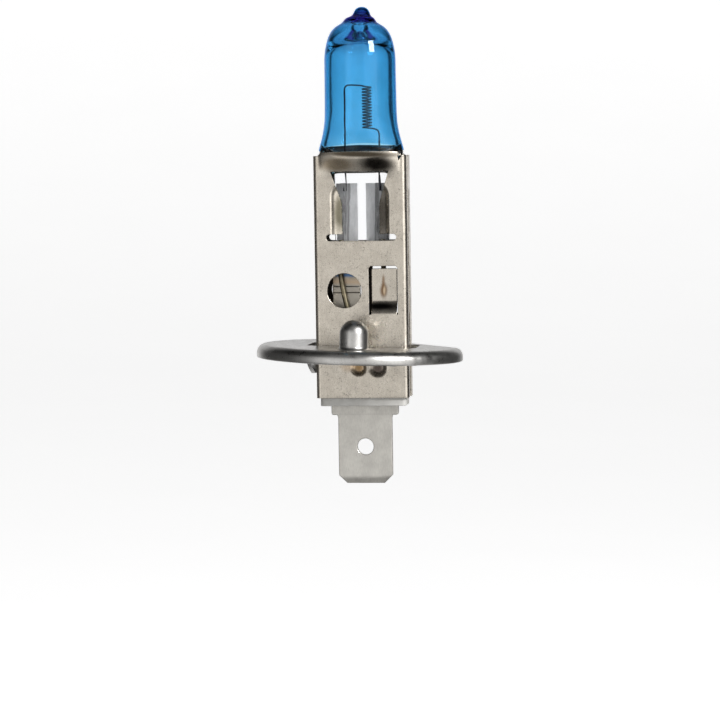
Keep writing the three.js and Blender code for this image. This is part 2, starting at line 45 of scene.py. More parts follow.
# The sleeve, with all that it holds, stands a little off centre and off square to the flange.
BODY = Matrix.Translation((0.47, 0, 0)) @ Matrix.Rotation(-math.radians(2), 4, "Y")

SLEEVE_WIDTH, SLEEVE_DEPTH, SHEET = 10.8, 4.6, 0.35
SLEEVE_BOTTOM, SLEEVE_TOP = -6.0, 22.0
FRONT = -SLEEVE_DEPTH / 2
TONGUE_DEPTH = 0.85
BLADE_THICK, RIDGE_RISE = 0.8, 0.12


# ---- small helpers
def clamp(t):
    return min(1.0, max(0.0, t))


def smooth(t):
    t = clamp(t)
    return t * t * (3 - 2 * t)


def lerp(a, b, t):
    return a + (b - a) * t


def hump(x, centre, width):
    """A smooth bell, 1 at the centre and near 0 at a width and a half."""
    return math.exp(-((x - centre) / width) ** 2)


def spline(rows, steps):
    """Rows of numbers, read as points on a smooth curve through them, with steps new rows to each old one."""
    out = []
    for i in range(len(rows) - 1):
        p0, p1 = rows[max(0, i - 1)], rows[i]
        p2, p3 = rows[i + 1], rows[min(len(rows) - 1, i + 2)]
        for k in range(steps):
            t = k / steps
            h1, h2 = 2 * t**3 - 3 * t**2 + 1, t**3 - 2 * t**2 + t
            h3, h4 = 3 * t**2 - 2 * t**3, t**3 - t**2
            near = zip(p0, p1, p2, p3)
            out.append([h1 * b + h2 * (c - a) / 2 + h3 * c + h4 * (d - b) / 2 for a, b, c, d in near])
    out.append(list(rows[-1]))
    return out


def placed(name, data):
    """An object in the scene that holds this data."""
    obj = bpy.data.objects.new(name, data)
    bpy.context.scene.collection.objects.link(obj)
    return obj


def evaluated(obj):
    """The object's mesh, with its modifiers applied, as a bmesh."""
    bpy.context.view_layer.update()
    made = bpy.data.meshes.new_from_object(obj.evaluated_get(bpy.context.evaluated_depsgraph_get()))
    bm = bmesh.new()
    bm.from_mesh(made)
    bpy.data.meshes.remove(made)
    return bm


def finish_piece(name, mesh, materials, node, smooth_by):
    """A piece of the lamp: it rides on the root body and stands for a CAD node."""
    mesh.validate()
    for material in materials:
        mesh.materials.append(material)
    mesh.shade_smooth()
    mesh.set_sharp_from_angle(angle=math.radians(smooth_by))
    obj = placed(name, mesh)
    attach(obj, "root")
    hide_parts(node)
    return obj


def piece(name, verts, faces, material, node, smooth_by=60):
    mesh = bpy.data.meshes.new(name)
    mesh.from_pydata([BODY @ Vector(v) * MM for v in verts], [], faces)
    finish_piece(name, mesh, [material], node, smooth_by)


def sheet_piece(name, bm, materials, node, smooth_by, place=BODY):
    """A piece with flat faces and rounded edges, from a bmesh drawn in millimetres."""
    for v in bm.verts:
        v.co = place @ v.co * MM
    bmesh.ops.recalc_face_normals(bm, faces=bm.faces)
    mesh = bpy.data.meshes.new(name)
    bm.to_mesh(mesh)
    bm.free()
    obj = finish_piece(name, mesh, materials, node, smooth_by)
    even = obj.modifiers.new("even_normals", "WEIGHTED_NORMAL")
    even.keep_sharp = True


# ---- outlines: lists of points, always counter-clockwise ----
def arc(cx, cy, r, start, end, steps=10):
    """Points on an arc, with its angles in degrees."""
    out = []
    for i in range(steps + 1):
        a = math.radians(lerp(start, end, i / steps))
        out.append((cx + r * math.cos(a), cy + r * math.sin(a)))
    return out


def rounded_rect(cx, cy, width, height, r, steps=6):
    w, h = width / 2 - r, height / 2 - r
    return (
        arc(cx + w, cy + h, r, 0, 90, steps)
        + arc(cx - w, cy + h, r, 90, 180, steps)
        + arc(cx - w, cy - h, r, 180, 270, steps)
        + arc(cx + w, cy - h, r, 270, 360, steps)
    )


def plate(outline, holes, thickness, edge, steps):
    """A flat plate in X and Y, centred on Z = 0, with its edges rounded by edge; a bmesh in millimetres."""
    data = bpy.data.curves.new("blank", "CURVE")
    data.dimensions, data.fill_mode = "2D", "BOTH"
    data.extrude = thickness / 2 - edge
    data.bevel_depth, data.bevel_resolution, data.offset = edge, steps, -edge
    for loop in [outline] + [list(reversed(hole)) for hole in holes]:
        line = data.splines.new("POLY")
        line.points.add(len(loop) - 1)
        for point, (x, y) in zip(line.points, loop):
            point.co = (x, y, 0, 1)
        line.use_cyclic_u = True
    blank = placed("blank", data)
    bm = evaluated(blank)
    bpy.data.objects.remove(blank)
    bpy.data.curves.remove(data)
    bmesh.ops.remove_doubles(bm, verts=bm.verts, dist=1e-4)
    return bm


def grid_cut(bm, axis, places):
    """Cuts the mesh's faces along planes, so that it has points to bend at."""
    normal = Vector((axis == 0, axis == 1, axis == 2))
    for place in places:
        everything = bm.verts[:] + bm.edges[:] + bm.faces[:]
        bmesh.ops.bisect_plane(bm, geom=everything, dist=1e-5, plane_co=normal * place, plane_no=normal)


def steps_between(a, b, step):
    n = max(1, round((b - a) / step))
    return [a + (b - a) * i / n for i in range(n + 1)]


def tube(points, r, sides=12, taper=None):
    """Points and faces of a round wire with closed ends; taper gives the radius at each place along it."""
    points = [Vector(p) for p in points]
    verts, faces = [], []
    tangent = (points[1] - points[0]).normalized()
    side = tangent.orthogonal().normalized()
    for i, p in enumerate(points):
        ahead = points[min(len(points) - 1, i + 1)] - points[max(0, i - 1)]
        turn = tangent.rotation_difference(ahead.normalized())
        side = turn @ side
        tangent = ahead.normalized()
        side = (side - tangent * side.dot(tangent)).normalized()
        other = tangent.cross(side)
        here = r * (taper(i / (len(points) - 1)) if taper else 1)
        for k in range(sides):
            a = TAU * k / sides
            verts.append(p + (side * math.cos(a) + other * math.sin(a)) * here)
    for i in range(len(points) - 1):
        for k in range(sides):
            a, b = i * sides + k, i * sides + (k + 1) % sides
            faces.append((a, b, b + sides, a + sides))
    faces.append(tuple(reversed(range(sides))))
    faces.append(tuple(range(len(verts) - sides, len(verts))))
    return verts, faces


# ---- materials
class Graph:
    """A node tree under construction."""

    def __init__(self, tree):
        self.tree = tree

    def node(self, kind, **settings):
        made = self.tree.nodes.new(kind)
        for key, value in settings.items():
            setattr(made, key, value)
        return made

    def put(self, value, socket):
        """Feeds a socket from another one, or sets it to a number, a place or a colour."""
        if isinstance(value, bpy.types.NodeSocket):
            self.tree.links.new(value, socket)
        elif socket.type == "RGBA":
            socket.default_value = (*value, 1)
        else:
            socket.default_value = value

    def fill(self, node, **values):
        """The node, with its sockets set or fed by name, with _ for each space."""
        for name, value in values.items():
            self.put(value, node.inputs[name.replace("_", " ")])
        return node

    def made(self, node, *values):
        """The result of a node whose first sockets are fed by these values."""
        for value, socket in zip(values, node.inputs):
            self.put(value, socket)
        return next(socket for socket in node.outputs if socket.enabled)

    def number(self, operation, *values):
        return self.made(self.node("ShaderNodeMath", operation=operation), *values)

    def vector(self, operation, *values):
        return self.made(self.node("ShaderNodeVectorMath", operation=operation), *values)

    def parts(self, value):
        return self.fill(self.node("ShaderNodeSeparateXYZ"), Vector=value).outputs

    def between(self, value, low, high, **settings):
        """0 where the value is low and 1 where it is high."""
        return self.made(self.node("ShaderNodeMapRange", **settings), value, low, high)

    def ramp(self, value, stops, ease="LINEAR"):
        made = self.node("ShaderNodeValToRGB")
        made.color_ramp.interpolation = ease
        steps = made.color_ramp.elements
        while len(steps) < len(stops):
            steps.new(0.5)
        for step, (place, colour) in zip(steps, stops):
            step.position = place
            step.color = (*colour, 1) if isinstance(colour, tuple) else (colour, colour, colour, 1)
        return self.made(made, value)

    def mix(self, a, b, amount, blend="MIX"):
        made = self.node("ShaderNodeMix", data_type="RGBA", blend_type=blend)
        for name, value in (("Factor", amount), ("A", a), ("B", b)):
            self.put(value, next(s for s in made.inputs if s.name == name and s.enabled))
        return next(s for s in made.outputs if s.enabled)


class Look(Graph):
    """A node material under construction, with its coordinates in millimetres."""

    def __init__(self, name, **values):
        self.material = bpy.data.materials.new(name)
        self.material.use_nodes = True
        super().__init__(self.material.node_tree)
        self.shader = self.tree.nodes["Principled BSDF"]
        place = self.node("ShaderNodeTexCoord").outputs["Object"]
        self.at = self.vector("MULTIPLY", place, [1 / MM] * 3)
        self.set(**values)

    def set(self, **values):
        self.fill(self.shader, **values)

    def noise(self, scale, detail=3.0, roughness=0.5, stretch=None):
        made = self.fill(self.node("ShaderNodeTexNoise"), Scale=scale, Detail=detail, Roughness=roughness)
        return self.made(made, self.vector("MULTIPLY", self.at, stretch) if stretch else self.at)

    def clouds(self, low, high, *noise):
        """Noise between two tones, each with the place on the noise's scale where it is reached."""
        return self.ramp(self.noise(*noise), [low, high])

    def spot(self, centre, radius, squash):
        """1 inside a soft round spot about a point, falling to 0 at its radius."""
        away = self.vector("MULTIPLY", self.vector("SUBTRACT", self.at, centre), squash)
        away = self.vector("LENGTH", away)
        return self.between(away, radius, radius * 0.3, interpolation_type="SMOOTHSTEP")

    def height(self, low, high):
        """0 at the low Z and 1 at the high one."""
        return self.between(self.parts(self.at)["Z"], low, high)

    def aside(self, near, far, wander):
        """0 at one distance to either side of the X middle and 1 at another, along a line that wanders."""
        side = self.number("ABSOLUTE", self.parts(self.at)["X"])
        side = self.number("MULTIPLY_ADD", self.noise(0.7, 4, 0.6, (1, 1, 0.6)), wander, side)
        return self.between(side, near + wander / 2, far + wander / 2)

    def bump(self, height, strength, distance_mm):
        made = self.node("ShaderNodeBump")
        self.fill(made, Strength=strength, Distance=distance_mm * MM, Height=height)
        self.set(Normal=made.outputs[0])


def plated(name, light, dark, rough, spots=(), speckle=0.8):
    """Plated sheet metal: two close tones in soft clouds, fine specks, and a satin that varies a little.
    spots are (centre, radius, squash, colour, amount) of heat tint, painted shade and painted reflections."""
    look = Look(name, Metallic=1.0)
    colour = look.clouds((0.35, dark), (0.65, light), 0.45, 5, 0.6)
    grain = look.clouds((0.3, 0.78), (0.5, 1.0), 9, 2, 0.6)
    brushed = look.clouds((0.3, 0.86), (0.6, 1.0), 7, 3, 0.6, (1.6, 1.6, 0.12))
    for shade in (grain, brushed):
        colour = look.mix(colour, shade, speckle, "MULTIPLY")
    specks = look.clouds((0.57, 0.0), (0.65, 1.0), 5.5, 4, 0.7)
    drifts = look.clouds((0.4, 0.25), (0.6, 1.0), 0.6, 3, 0.6)
    specks = look.mix((0, 0, 0), look.mix(specks, drifts, 1.0, "MULTIPLY"), speckle)
    colour = look.mix(colour, tuple(c * 0.25 for c in dark), specks)
    for centre, radius, squash, tint, amount in spots:
        colour = look.mix(colour, tint, look.number("MULTIPLY", look.spot(centre, radius, squash), amount))
    satin = look.clouds((0.3, rough * 0.82), (0.7, rough * 1.25), 1.3, 4, 0.6)
    look.set(Base_Color=colour, Roughness=satin)
    look.bump(look.noise(5, 4, 0.6), 0.25, 0.012)
    return look.material


def glass(name, colour, ior):
    return Look(name, Base_Color=colour, Roughness=0.0, IOR=ior, Transmission_Weight=1.0)


# ---- camera, light and surroundings
def camera():
    azimuth, distance, eye_height = math.radians(7.0), 350.0, 23.0
    centre, view_width, roll = Vector((0, 0, -1.74)), 83.7, math.radians(-1.1)
    eye = Vector((math.sin(azimuth), -math.cos(azimuth), 0)) * distance
    eye.z = eye_height
    look = centre - eye
    data = bpy.data.cameras.new("camera")
    data.sensor_width = 36
    data.lens = data.sensor_width * look.length / view_width
    data.clip_start, data.clip_end = 0.001, 20
    cam = placed("camera", data)
    cam.rotation_mode = "QUATERNION"
    cam.rotation_quaternion = Quaternion(look.normalized(), roll) @ look.to_track_quat("-Z", "Y")
    cam.location = eye * MM
    bpy.context.scene.camera = cam


def key_light():
    """A square light that faces the glass, from the front right and above."""
    a, e, distance, size, power = math.radians(47), math.radians(27), 300, 84, 1.0
    towards = Vector((math.sin(a) * math.cos(e), -math.cos(a) * math.cos(e), math.sin(e)))
    data = bpy.data.lights.new("key", "AREA")
    data.shape, data.size, data.energy = "SQUARE", size * MM, power
    light = placed("key", data)
    light.location = (towards * distance + Vector((0, 0, 15))) * MM
    light.rotation_euler = towards.to_track_quat("Z", "Y").to_euler()
    light.visible_camera = False


def studio():
    """White to the camera; to the lamp, a bright room with dark gaps at the sides and a dim ceiling."""
    world = bpy.data.worlds.new("studio")
    bpy.context.scene.world = world
    world.use_nodes = True
    world.node_tree.nodes.clear()
    room = Graph(world.node_tree)
    x, y, z = room.parts(room.node("ShaderNodeTexCoord").outputs["Generated"])
    turn = room.between(room.number("ARCTAN2", x, room.number("MULTIPLY", y, -1)), -math.pi, math.pi)
    lift = room.between(z, -1, 1)

    def around(stops):
        """Levels by the turn about the vertical in degrees: 0 is the front, 90 is +X and 180 the back."""
        return room.ramp(turn, [((a + 180) / 360, level) for a, level in stops], "EASE")

    def upwards(stops):
        """Levels from straight below, at 0, to straight above, at 1."""
        return room.ramp(lift, stops, "EASE")

    level = around([
        (-180, 1.0), (-150, 1.0), (-124, 0.06), (-76, 0.08), (-48, 0.3), (-36, 1.2), (-26, 1.2),
        (-18, 0.86), (4, 0.86), (14, 0.62), (26, 1.3), (58, 1.6), (70, 0.5), (80, 0.07),
        (152, 0.06), (167, 1.0), (180, 1.0),
    ])
    floor = around([
        (-180, 0.8), (-120, 0.7), (-70, 0.08), (-40, 0.12), (-12, 0.55),
        (-4, 0.03), (40, 0.03), (70, 0.5), (90, 0.6), (180, 0.8),
    ])
    mirrored = upwards([(0.0, 1.0), (0.5, 1.0), (0.64, 0.85), (0.78, 0.16), (1.0, 0.1)])
    through = upwards([(0.0, 1.0), (0.5, 1.0), (0.7, 0.95), (0.85, 0.62), (1.0, 0.55)])
    under = upwards([(0.0, 1.0), (0.2, 1.0), (0.37, 0.0), (1.0, 0.0)])
    rays = room.node("ShaderNodeLightPath").outputs
    level = room.mix(level, room.mix(mirrored, through, rays["Is Transmission Ray"]), 1.0, "MULTIPLY")
    lit = room.made(room.node("ShaderNodeBackground"), room.mix(level, floor, under))
    white = room.made(room.node("ShaderNodeBackground"), (1, 1, 1))
    shown = room.made(room.node("ShaderNodeMixShader"), rays["Is Camera Ray"], lit, white)
    room.put(shown, room.node("ShaderNodeOutputWorld").inputs[0])
    bpy.context.scene.view_settings.view_transform = "Standard"


camera()
studio()
key_light()

# ---- glass
def turned_rows(*rows):
    """Sections of a stretch that is round, from (z, radius, sideways shift)."""
    return [[z, r, r, 2, shift] for z, r, shift in rows]


# Each section is [z, half width, half depth, squareness, sideways shift].
PINCH_WIDTH, PINCH_DEPTH, PINCH_BOTTOM = 3.25, 1.1, 9.8
GLASS_SIDES = 144
COAT = 0.08
OUTER = turned_rows(
    (39.1, 0.0, 0.28), (39.06, 0.3, 0.28), (38.93, 0.58, 0.28), (38.7, 0.8, 0.28), (38.42, 0.94, 0.28),
    (38.2, 1.04, 0.25), (38.04, 1.2, 0.18), (37.92, 1.42, 0.1), (37.77, 1.66, 0.05), (37.5, 1.88, 0.02),
    (37.3, 2.04, 0), (37.12, 2.32, 0), (36.8, 2.82, 0), (36.3, 3.3, 0), (35.5, 3.7, 0),
    (34.3, 4.0, 0), (33.2, 4.12, 0), (32, 4.13, 0),
) + [
    [29.5, 4.15, 4.14, 2, 0], [26.4, 4.2, 4.14, 2, 0], [25, 4.36, 3.98, 2.05, 0], [24, 4.58, 3.72, 2.1, 0],
    [23, 4.86, 3.36, 2.2, 0], [22.3, 4.98, 3.05, 2.4, 0], [21.8, 4.8, 2.72, 2.6, 0], [21.3, 4.4, 2.2, 3, 0],
    [20.85, 3.95, 1.62, 4, 0], [20.45, 3.55, 1.22, 5.5, 0],
    [20, PINCH_WIDTH + 0.08, PINCH_DEPTH + 0.01, 6.5, 0],
] + [[z, PINCH_WIDTH, PINCH_DEPTH, 7, 0] for z in (19.2, 16, 13)]
PINCH_END = [
    [PINCH_BOTTOM, PINCH_WIDTH - 0.12, PINCH_DEPTH - 0.12, 7, 0],
    [PINCH_BOTTOM, 0.0, 0.0, 7, 0],
]
CAVITY = turned_rows(
    (37.35, 0.0, 0.15), (37.25, 0.35, 0.15), (37.0, 0.72, 0.12), (36.7, 0.95, 0.05), (36.4, 0.82, 0),
    (36.15, 0.66, 0), (35.85, 0.78, 0), (35.55, 1.25, 0), (35.2, 2.05, 0), (34.75, 2.7, 0),
    (34.1, 3.15, 0), (33.1, 3.34, 0), (30.0, 3.36, 0),
) + [
    [27, 3.4, 3.38, 2, 0], [25, 3.6, 3.2, 2, 0], [23.6, 3.9, 2.75, 2, 0], [22.9, 3.95, 2.3, 2.1, 0],
    [22.35, 3.6, 1.8, 2.2, 0], [21.95, 2.9, 1.2, 2.3, 0], [21.75, 2.0, 0.6, 2.3, 0], [21.7, 0.0, 0.0, 2.3, 0],
]


def quadrant(row, count):
    """Points an even length apart along a quarter of a section, from its wide end."""
    _, half_width, half_depth, n, _ = row
    fine = []
    for i in range(65):
        a = math.pi / 2 * i / 64
        fine.append((half_width * math.cos(a) ** (2 / n), half_depth * math.sin(a) ** (2 / n)))
    run = [0.0]
    for (ax, ay), (bx, by) in zip(fine, fine[1:]):
        run.append(run[-1] + math.hypot(bx - ax, by - ay))
    out, k = [], 0
    for i in range(count):
        want = run[-1] * i / count
        while run[k + 1] < want:
            k += 1
        t = (want - run[k]) / max(1e-9, run[k + 1] - run[k])
        out.append((lerp(fine[k][0], fine[k + 1][0], t), lerp(fine[k][1], fine[k + 1][1], t)))
    return out, fine[-1]


def section_ring(row):
    """A section's points all the way round, from +X towards +Y."""
    z, *_, shift = row
    part, end = quadrant(row, GLASS_SIDES // 4)
    back = [end] + part[:0:-1]
    ring = part + [(-x, y) for x, y in back]
    ring += [(-x, -y) for x, y in ring]
    return [(x + shift, y, z) for x, y in ring]


def ribbed(x, y, z):
    """The pinch keeps two upright ridges on each face, where the jaws met."""
    ridge = smooth((20 - z) / 1.6) * smooth((z - PINCH_BOTTOM) / 0.8)
    if abs(y) > PINCH_DEPTH * 0.6 and ridge:
        wander = 0.06 * math.sin(2.3 * z + x)
        rise = 0.2 * hump(abs(x) + wander, 1.92, 0.14) - 0.14 * hump(abs(x) + wander, 2.2, 0.13)
        y += math.copysign(rise * ridge * (1 + 0.4 * math.sin(4.1 * z + 2 * x)), y)
    return x, y, z


def ring_faces(start, rings):
    """Faces between rings of the glass's points that lie one below the other."""
    faces = []
    for j in range(rings - 1):
        for k in range(GLASS_SIDES):
            a = start + j * GLASS_SIDES + k
            b = start + j * GLASS_SIDES + (k + 1) % GLASS_SIDES
            faces.append((a, a + GLASS_SIDES, b + GLASS_SIDES, b))
    return faces


def flipped(faces):
    return [tuple(reversed(face)) for face in faces]


def loft(rows, shape=None):
    """Points and faces of a closed surface through sections given from the top down."""
    verts = []
    for row in rows[1:-1]:
        verts += [shape(*point) if shape else point for point in section_ring(row)]
    top, bottom, end = len(verts), len(verts) + 1, len(verts) - GLASS_SIDES
    faces = ring_faces(0, len(rows) - 2)
    verts += [(rows[0][4], 0, rows[0][0]), (rows[-1][4], 0, rows[-1][0])]
    for k in range(GLASS_SIDES):
        n = (k + 1) % GLASS_SIDES
        faces += [(top, k, n), (bottom, end + n, end + k)]
    return verts, faces


def section_at(rows, z):
    """The section at a height, from rows given from the top down."""
    for above, below in zip(rows, rows[1:]):
        if below[0] <= z <= above[0]:
            t = (above[0] - z) / max(1e-9, above[0] - below[0])
            return [lerp(a, b, t) for a, b in zip(above, below)]
    return rows[-1]


def narrowed(rows, by):
    """The sections moved in along their own slope by a small thickness."""
    out = []
    for i, (z, half_width, half_depth, n, shift) in enumerate(rows):
        above, below = rows[max(0, i - 1)], rows[min(len(rows) - 1, i + 1)]
        run = Vector((below[1] - above[1], below[0] - above[0])).normalized()
        side, down = by * abs(run.y), by * max(0.0, run.x) if half_width else by
        out.append([z - down, max(0.0, half_width - side), max(0.0, half_depth - side), n, shift])
    return out


outer_rows = spline(OUTER, 5)


def make_envelope():
    inner = narrowed(outer_rows, COAT + 0.02)
    inner[0][1] = inner[0][2] = 0.0
    verts, faces = loft(inner + PINCH_END, ribbed)
    hole_verts, hole_faces = loft(spline(CAVITY, 5))
    faces += [tuple(i + len(verts) for i in face) for face in flipped(hole_faces)]
    look = glass("quartz", (0.985, 0.992, 1.0), 1.458)
    look.bump(look.noise(0.9, 3, 0.5, (1, 1, 0.25)), 0.25, 0.05)
    piece("glass_bulb", verts + hole_verts, faces, look.material, "glass_envelope")


def coating_end(angle):
    return 22.55 + 0.5 * math.sin(angle) ** 2


def make_coating():
    """The film's outer and inner faces, with level rings down to the waist and then rings that turn wavy."""
    waist, waves, nib = 24.0, 15, 38
    tops = [row[0] for row in outer_rows[1:] if row[0] > waist]
    verts, faces, ends = [], [], []
    for rows, inset in ((outer_rows, 0.0), (narrowed(outer_rows, COAT), COAT)):
        start = len(verts)
        for z in tops:
            verts += section_ring(section_at(rows, z - (inset if z > nib else 0)))
        for i in range(waves):
            for k in range(GLASS_SIDES):
                z = lerp(waist, coating_end(TAU * k / GLASS_SIDES), i / (waves - 1))
                verts.append(section_ring(section_at(rows, z))[k])
        shell = ring_faces(start, len(tops) + waves)
        ends.append(len(verts) - GLASS_SIDES)
        tip = len(verts)
        verts.append((outer_rows[0][4], 0, outer_rows[0][0] - inset))
        shell += [(tip, start + k, start + (k + 1) % GLASS_SIDES) for k in range(GLASS_SIDES)]
        faces += flipped(shell) if inset else shell
    outer_end, inner_end = ends
    for k in range(GLASS_SIDES):
        n = (k + 1) % GLASS_SIDES
        faces.append((outer_end + k, inner_end + k, inner_end + n, outer_end + n))
    look = glass("blue_coating", (1, 1, 1), 1.0)
    blue, haze, plum = (0.27, 0.69, 0.93), (0.42, 0.76, 0.95), (0.13, 0.07, 0.4)
    colour = look.ramp(
        look.height(22.5, 39.2),
        [
            (0.0, haze), (0.12, (0.31, 0.71, 0.94)), (0.45, blue), (0.7, (0.26, 0.66, 0.91)),
            (0.875, (0.27, 0.6, 0.86)), (0.895, plum), (0.935, plum), (0.96, (0.09, 0.32, 0.6)),
            (1.0, (0.1, 0.34, 0.62)),
        ],
    )
    drift = look.clouds((0.35, 0.93), (0.65, 1.0), 0.35, 2, 0.5)
    look.set(Base_Color=look.mix(colour, drift, 1.0, "MULTIPLY"))
    look.set(Coat_Weight=0.5, Coat_Roughness=0.0, Coat_IOR=1.46)
    depth = look.node("ShaderNodeVolumeAbsorption")
    output = next(n for n in look.tree.nodes if n.type == "OUTPUT_MATERIAL")
    look.fill(output, Volume=look.made(depth, (0.06, 0.5, 0.84), 1500))
    piece("blue_coating_film", verts, faces, look.material, "blue_filter_coating")


make_envelope()
make_coating()


# ---- filament, foils and leads
FOIL_X, FOIL_HALF = 1.67, 0.024
LEAD_R, LEAD_CLEAR, PIN_Y = 0.3, 0.04, -0.36


def make_filament():
    coil_x, coil_r, turns, bottom, length = 0.72, 0.5, 14, 25.2, 4.7
    left, right, depth, foot = -1.85, 2.1, -0.16, 17.9
    before = [
        [left, depth, foot], [left + 0.02, depth, 20], [left - 0.02, depth, 23], [left, depth, 26],
        [left, depth, 28.6], [left, depth, 29.55], [left + 0.08, depth, 29.88], [left + 0.3, -0.18, 30.08],
        [left + 0.7, -0.22, 30.12], [-0.6, -0.32, 30.1], [0.1, -0.45, 30.05],
    ]
    after = [
        [1.35, -0.36, 25.1], [1.75, -0.25, 24.98], [1.98, depth, 24.8], [right, depth, 24.5],
        [right + 0.02, depth, 24.0], [right, depth, 22.6], [right - 0.02, depth, 20.4], [right, depth, foot],
    ]
    points = spline(before, 6)
    per_turn = 22
    for i in range(turns * per_turn + 1):
        a = TAU * i / per_turn - math.pi / 2
        height = bottom + length * (1 - i / (turns * per_turn))
        points.append([coil_x + coil_r * math.cos(a), coil_r * math.sin(a), height])
    points += spline(after, 6)
    leg_r, coil_wire_r = 0.1, 0.09
    ends = len(before) * 6 / len(points)

    def thinned(t):
        return lerp(1.0, coil_wire_r / leg_r, smooth(t / ends) * smooth((1 - t) / ends))

    verts, faces = tube(points, leg_r, 12, thinned)
    look = Look("tungsten_wire", Metallic=1.0, Roughness=0.42)
    look.set(Base_Color=look.clouds((0.3, (0.015, 0.016, 0.025)), (0.7, (0.035, 0.037, 0.05)), 6, 2))
    look.bump(look.noise(12, 2, 0.5, (1, 1, 0.1)), 0.3, 0.01)
    piece("filament_wire", verts, faces, look.material, "filament")


def foil_look():
    """Rolled foil, grey and even in the middle, with dark creases where it is bedded in the glass."""
    look = Look("molybdenum", Metallic=0.75)
    tone = look.clouds((0.3, (0.62, 0.63, 0.64)), (0.7, (0.78, 0.78, 0.79)), 1.2, 4, 0.6, (3, 3, 0.6))
    creases = look.ramp(
        look.aside(1.3, 2.3, 0.5),
        [(0.0, 1.0), (0.16, 1.0), (0.28, 0.42), (0.46, 0.5), (0.6, 0.9), (0.78, 0.4), (1.0, 0.5)],
    )
    look.set(Base_Color=look.mix(tone, creases, 1.0, "MULTIPLY"))
    look.set(Roughness=look.clouds((0.3, 0.5), (0.7, 0.66), 3, 2))
    look.bump(look.noise(2.5, 3, 0.5, (4, 4, 0.4)), 0.35, 0.02)
    return look.material


def lead_look():
    look = Look("lead_wire", Metallic=0.8)
    look.set(Base_Color=look.clouds((0.35, (0.13, 0.11, 0.07)), (0.65, (0.24, 0.21, 0.14)), 2.2, 4, 0.6))
    look.set(Roughness=look.clouds((0.3, 0.3), (0.7, 0.45), 3, 2))
    look.bump(look.noise(9, 2, 0.5, (2, 2, 0.2)), 0.3, 0.01)
    return look.material


def make_foil(name, node, side, material):
    """A thin rolled foil, thicker in the middle than at its feathered edges."""
    width, top, bottom, across, up = 2.36, 18.8, 10.8, 16, 40
    verts, faces = [], []
    for face_side in (-1, 1):
        for j in range(up + 1):
            for i in range(across + 1):
                u, w = 2 * i / across - 1, j / up
                z = lerp(bottom, top, w)
                thick = FOIL_HALF * (1 - 0.75 * u * u)
                wave = 0.012 * math.sin(z * 2.3 + side) * (1 - u * u)
                verts.append((side * FOIL_X + u * width / 2, face_side * thick + wave, z))
    row = across + 1
    layer = row * (up + 1)
    for j in range(up):
        for i in range(across):
            a = j * row + i
            faces.append((a, a + 1, a + row + 1, a + row))
            b = a + layer
            faces.append((b, b + row, b + row + 1, b + 1))
    edge = list(range(row)) + [j * row + across for j in range(1, up + 1)]
    edge += [up * row + i for i in range(across - 1, -1, -1)] + [j * row for j in range(up - 1, 0, -1)]
    for a, b in zip(edge, edge[1:] + edge[:1]):
        faces.append((a, a + layer, b + layer, b))
    piece(name, verts, faces, material, node, 50)


def make_lead(name, node, route, material):
    verts, faces = tube(spline(route, 8), LEAD_R, 16)
    piece(name, verts, faces, material, node, 50)


make_filament()
molybdenum, rod = foil_look(), lead_look()
make_foil("foil_live_strip", "foil_live", -1, molybdenum)
make_foil("foil_ground_strip", "foil_ground", 1, molybdenum)
# Each lead leaves the pinch straight down and bends to lie in front of the strip or behind the tongue.
live_y = -BLADE_THICK / 2 - RIDGE_RISE - LEAD_R - LEAD_CLEAR
ground_y = FRONT + TONGUE_DEPTH + SHEET + LEAD_R + LEAD_CLEAR
live_route = [
    [-2.4, PIN_Y, 12.3], [-2.4, PIN_Y, 11], [-2.4, PIN_Y, 9.75], [-2.42, (live_y + PIN_Y) / 2, 9.3],
    [-2.55, live_y, 8.8], [-2.28, live_y, 6.6], [-1.8, live_y, 4.4],
]
ground_route = [
    [2.4, PIN_Y, 12.3], [2.4, PIN_Y, 11], [2.4, PIN_Y, 9.8], [2.45, (ground_y + PIN_Y) / 2, 9.2],
    [2.5, ground_y, 8.5], [2.5, ground_y, 7.2], [2.5, ground_y, 5.9],
]
make_lead("lead_live_rod", "lead_live", live_route, rod)
make_lead("lead_ground_rod", "lead_ground", ground_route, rod)

# ---- sleeve
WALL_X = SLEEVE_WIDTH / 2 - SHEET / 2
WALL_Y = SLEEVE_DEPTH / 2 - SHEET / 2
BEND = 0.38
FACE = WALL_X - BEND
SIDE = 2 * (WALL_Y - BEND)
TURN = BEND * math.pi / 2
BACK_MIDDLE = -(FACE + TURN + SIDE + TURN + FACE)
SEAM_FRONT = FACE + TURN + (FRONT + 1 + WALL_Y - BEND)
HINGE, WINDOW_TOP, WINDOW_TOP_HALF, KNEE, WINDOW_HALF = 3.53, 20.15, 3.37, 16.5, 2.15
SLOT_X, SLOT_HALF, SLOT_LOW, SLOT_HIGH = 0.1, 4.07, 12.2, 12.94
HOLE_X, HOLE_Z, HOLE_R = -1.95, 6.45, 2.0
TONGUE_X, TONGUE_LOW, TONGUE_HIGH, TONGUE_WIDTH = 2.55, 3.65, 9.25, 3.35
COLLAR_HALF, COLLAR_BULGE, LIP = 4.7, 1.08, 0.5


def seam_back(z):
    """How far round the blank's other edge lies, where the seam's gap widens downwards."""
    gap = lerp(1.8, 0.6, clamp((z - SLEEVE_BOTTOM) / (SLEEVE_TOP - SLEEVE_BOTTOM)))
    return BACK_MIDDLE - FACE - TURN - (WALL_Y - BEND - (FRONT + 1 + gap))


